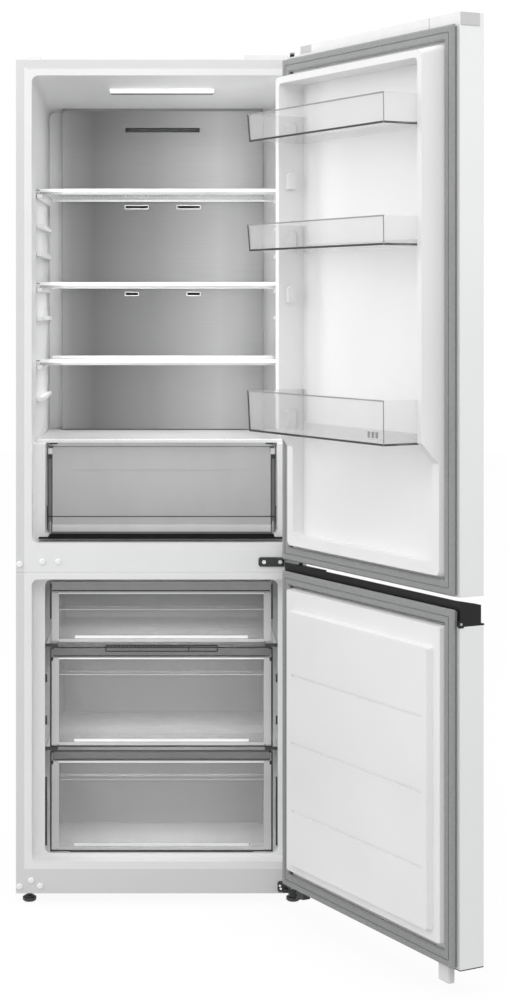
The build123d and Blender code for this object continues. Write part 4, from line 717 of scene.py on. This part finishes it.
def plug_caps():
    """The domed caps over the blank holes for hanging the doors on the left."""
    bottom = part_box("bottom_rail")[0].z
    places = [(-243, 699 * MM), (-211, 699 * MM), (-290, 694 * MM), (-266, bottom + 26 * MM),
              (-248, bottom + 14.5 * MM), (-290, bottom + 13.5 * MM)]
    depth = 2.0 * MM
    caps = bmesh.new()
    for x, z in places:
        made = bmesh.ops.create_cone(caps, cap_ends=True, segments=32, radius1=7.0 * MM,
                                     radius2=4.6 * MM, depth=depth)["verts"]
        edges = {edge for vert in made for edge in vert.link_edges}
        rims = [edge for edge in edges if any(len(face.verts) > 4 for face in edge.link_faces)]
        bmesh.ops.rotate(caps, cent=(0, 0, 0), matrix=Matrix.Rotation(math.radians(90), 3, "X"),
                         verts=made)
        bmesh.ops.translate(caps, vec=(MIDDLE_X + x * MM, FRONT_Y - depth, z), verts=made)
        bmesh.ops.bevel(caps, geom=rims, offset=0.7 * MM, affect="EDGES", segments=3, profile=0.5,
                        material=-1)
    finish("plug_caps", caps, cap_white, "cabinet")


def upper_door_cap_marks():
    """The grey end of the cap on top of the upper door, and the joints in its back face."""
    back = FRONT_Y - 12 * MM
    end = MIDDLE_X - 297.5 * MM
    cap_low = 1717.8 * MM
    cap_top = 1740.6 * MM
    ends = bmesh.new()
    bar(ends, span(end, -0.5, 1), span(back, -42, -1), (cap_low, cap_top), 0.4)
    bar(ends, span(MIDDLE_X, 196, 236), span(back, -0.8, 0.4), (cap_low + 8 * MM, cap_top), 0.4)
    swing(ends)
    finish("upper_door_cap_end", ends, cap_grey, "upper_door")
    seam_x = MIDDLE_X - 203.5 * MM
    depth = span(back, -0.6, 0.3)
    seams = bmesh.new()
    bar(seams, span(seam_x, -0.8, 0.8), depth, (cap_low + 1 * MM, cap_top), 0.3)
    bar(seams, span(seam_x, 0, 18), depth, span(cap_low, 1, 2.4), 0.3)
    swing(seams)
    finish("upper_door_cap_seams", seams, joint_grey_and_trim_shade, "upper_door")


def handle_end_tab():
    """The tab below the end of the black handle cap, with its screw."""
    end = MIDDLE_X - 296.5 * MM
    back = FRONT_Y - 8 * MM
    tab = bmesh.new()
    bar(tab, span(end, -1.2, 1), span(back, -11.5, 0), (656.5 * MM, 669 * MM), 0.6)
    swing(tab)
    finish("handle_end_tab", tab, black_abs, "lower_door")
    screw = bmesh.new()
    head = bmesh.ops.create_cone(screw, cap_ends=True, segments=24, radius1=2.8 * MM,
                                 radius2=2.0 * MM, depth=1.6 * MM)["verts"]
    bmesh.ops.rotate(screw, cent=(0, 0, 0), matrix=Matrix.Rotation(math.radians(-90), 3, "Y"),
                     verts=head)
    bmesh.ops.translate(screw, vec=(end - 1.8 * MM, back - 5.5 * MM, 663.5 * MM), verts=head)
    rims = [edge for edge in screw.edges if edge.calc_length() < 1.0 * MM]
    bmesh.ops.bevel(screw, geom=rims, offset=0.3 * MM, affect="EDGES", segments=2, profile=0.5,
                    material=-1)
    swing(screw)
    finish("handle_end_screw", screw, zinc, "lower_door")


# For each drawer, how far its rib lies below its top, and how far its floor's edge stays from its
# ends, in mm.
for name, rib_drop, floor_margin in zip(FREEZER_DRAWERS, (57, 57, 60), (52, 50, 50)):
    freezer_drawer_edges(name, rib_drop, floor_margin)
freezer_gap_shadows()
drawer_label_slider()
crisper_details()
for name in BALCONIES:
    balcony_edges(name)
balcony_ribs()
vent_frames()
shelf_clips()
shelf_trim_lips()
duct_top_shadow_strip()
cabinet_seams()
plug_caps()
upper_door_cap_marks()
handle_end_tab()


# Floor, light and camera

def seen_directly(tree):
    """1 for what the camera, a reflection or clear plastic shows, and 0 for light that is cast."""
    seen = add(tree, "ShaderNodeLightPath")
    mirrored = add(tree, "ShaderNodeMath", {0: seen.outputs["Is Camera Ray"],
                                            1: seen.outputs["Is Glossy Ray"]}, operation="MAXIMUM")
    return add(tree, "ShaderNodeMath", {0: mirrored.outputs["Value"],
                                        1: seen.outputs["Is Transmission Ray"]},
               operation="MAXIMUM").outputs["Value"]


def studio_white():
    # A seamless white paper sweep: the camera, metal and glass see it at nearly full white, and it
    # keeps the soft shadow under the object.
    material, tree, shader = start("paper_sweep", Roughness=0.9, Specular_IOR_Level=0.0)
    seen = seen_directly(tree)
    colour = add(tree, "ShaderNodeMix", {"Factor": seen, "A": linear("#bdbdbd"),
                                         "B": linear("#ffffff")}, data_type="RGBA")
    tree.links.new(colour.outputs["Result"], shader.inputs["Base Color"])
    glow = add(tree, "ShaderNodeEmission", {"Color": linear("#ffffff"), "Strength": 1.0})
    share = add(tree, "ShaderNodeMath", {0: seen, 1: 0.92}, operation="MULTIPLY")
    mix = add(tree, "ShaderNodeMixShader", {"Fac": share.outputs["Value"], 1: shader.outputs["BSDF"],
                                            2: glow.outputs["Emission"]})
    tree.links.new(mix.outputs["Shader"], tree.nodes["Material Output"].inputs["Surface"])
    return material


def floor():
    mesh = bpy.data.meshes.new("floor")
    form = bmesh.new()
    bmesh.ops.create_grid(form, x_segments=1, y_segments=1, size=12.0)
    form.to_mesh(mesh)
    form.free()
    piece = bpy.data.objects.new("floor", mesh)
    bpy.context.scene.collection.objects.link(piece)
    mesh.materials.append(studio_white())


def world_light():
    world = bpy.data.worlds.new("studio")
    world.use_nodes = True
    tree = world.node_tree
    back = tree.nodes["Background"]
    back.inputs["Color"].default_value = linear("#ffffff")
    strength = add(tree, "ShaderNodeMapRange", {"Value": seen_directly(tree), "To Min": 0.84,
                                                "To Max": 1.0})
    tree.links.new(strength.outputs["Result"], back.inputs["Strength"])
    bpy.context.scene.world = world


def area_light(name, place, aim, size, power, in_reflections=True, spread_angle=180):
    lamp = bpy.data.lights.new(name, "AREA")
    lamp.shape = "RECTANGLE"
    lamp.size, lamp.size_y = size
    lamp.energy = power
    lamp.spread = math.radians(spread_angle)
    piece = bpy.data.objects.new(name, lamp)
    piece.location = place
    piece.rotation_euler = (Vector(aim) - Vector(place)).to_track_quat("-Z", "Y").to_euler()
    piece.visible_camera = False
    piece.visible_glossy = in_reflections
    bpy.context.scene.collection.objects.link(piece)


# Almost straight down: the small step along Y settles which way a lamp's sides lie.
DOWN = Vector((0, 0.01, -1))


def light_below(name, node, power, drop, margin):
    """A soft light that shines down from just under a node, over its width and depth."""
    low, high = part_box(node)
    under = Vector(((low.x + high.x) / 2, (low.y + high.y) / 2, low.z - drop))
    area_light(name, under, under + DOWN, (high.x - low.x - margin, high.y - low.y - margin), power,
               in_reflections=False)


def fill_light(name, place, way, size, power, spread_angle):
    """A light inside or before the open cabinet that no reflection shows."""
    place = Vector(place)
    area_light(name, place, place + Vector(way), size, power, in_reflections=False,
               spread_angle=spread_angle)


def cabinet_lights():
    """The lamp under the ceiling, and the soft light that fills an open cabinet in a studio."""
    light_below("ceiling_lamp", "lamp_lens", 0.4, 4 * MM, 0.0)
    for shelf in SHELVES:
        light_below(shelf + "_light", shelf, 0.5, 3 * MM, 40 * MM)
    light_below("crisper_light", "crisper_cover", 0.68, 8 * MM, 80 * MM)
    for drawer, power in zip(FREEZER_DRAWERS, (0.38, 0.38, 0.26)):
        low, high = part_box(drawer)
        depth = high.y - low.y
        fill_light(drawer + "_light", (MIDDLE_X, low.y + 0.32 * depth, high.z - 16 * MM), DOWN,
                   (high.x - low.x - 60 * MM, 0.5 * depth), power, 130)
    low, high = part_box("freezer_liner")
    fill_light("freezer_fill", (MIDDLE_X, FRONT_Y - 60 * MM, (low.z + high.z) / 2 + 60 * MM), (0, 1, 0),
               (0.42, 0.32), 0.14, 60)
    low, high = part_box("duct_cover")
    height = high.z - low.z
    middle_z = (low.z + high.z) / 2
    fill_light("fridge_fill", (MIDDLE_X, FRONT_Y + 70 * MM, middle_z + 30 * MM), (0, 1, 0),
               (0.46, height - 0.14), 0.7, 60)
    fill_light("left_fill", (MIDDLE_X - 210 * MM, FRONT_Y + 110 * MM, middle_z), (1, 0, 0),
               (0.18, height - 0.16), 0.85, 110)


def camera():
    """A camera 4 m in front of the cabinet, level and square to it, with its picture shifted."""
    lens_data = bpy.data.cameras.new("camera")
    lens_data.sensor_fit = "VERTICAL"
    lens_data.sensor_height = 36.0
    lens_data.lens = 1.955 * lens_data.sensor_height
    lens_data.shift_x = 0.078
    lens_data.shift_y = -0.1954
    lens_data.clip_end = 60
    piece = bpy.data.objects.new("camera", lens_data)
    piece.location = (MIDDLE_X + 0.0292, FRONT_Y - 4.003, 1.2256)
    piece.rotation_euler = (math.radians(90), 0, 0)
    bpy.context.scene.collection.objects.link(piece)
    bpy.context.scene.camera = piece


floor()
world_light()
area_light("front_softbox", (0.1, -2.6, 3.0), (0.3, 0.0, 1.5), (2.4, 1.6), 22)
area_light("left_softbox", (-2.8, -1.0, 2.0), (0.6, -0.4, 1.4), (1.6, 2.0), 24)
area_light("right_softbox", (3.0, -1.6, 2.2), (0.6, -0.4, 1.4), (1.4, 1.8), 9)
area_light("overhead_softbox", (0.3, 0.2, 3.6), (0.3, 0.2, 0.5), (2.4, 2.0), 14)
cabinet_lights()
camera()

bpy.context.scene.view_settings.view_transform = "Standard"
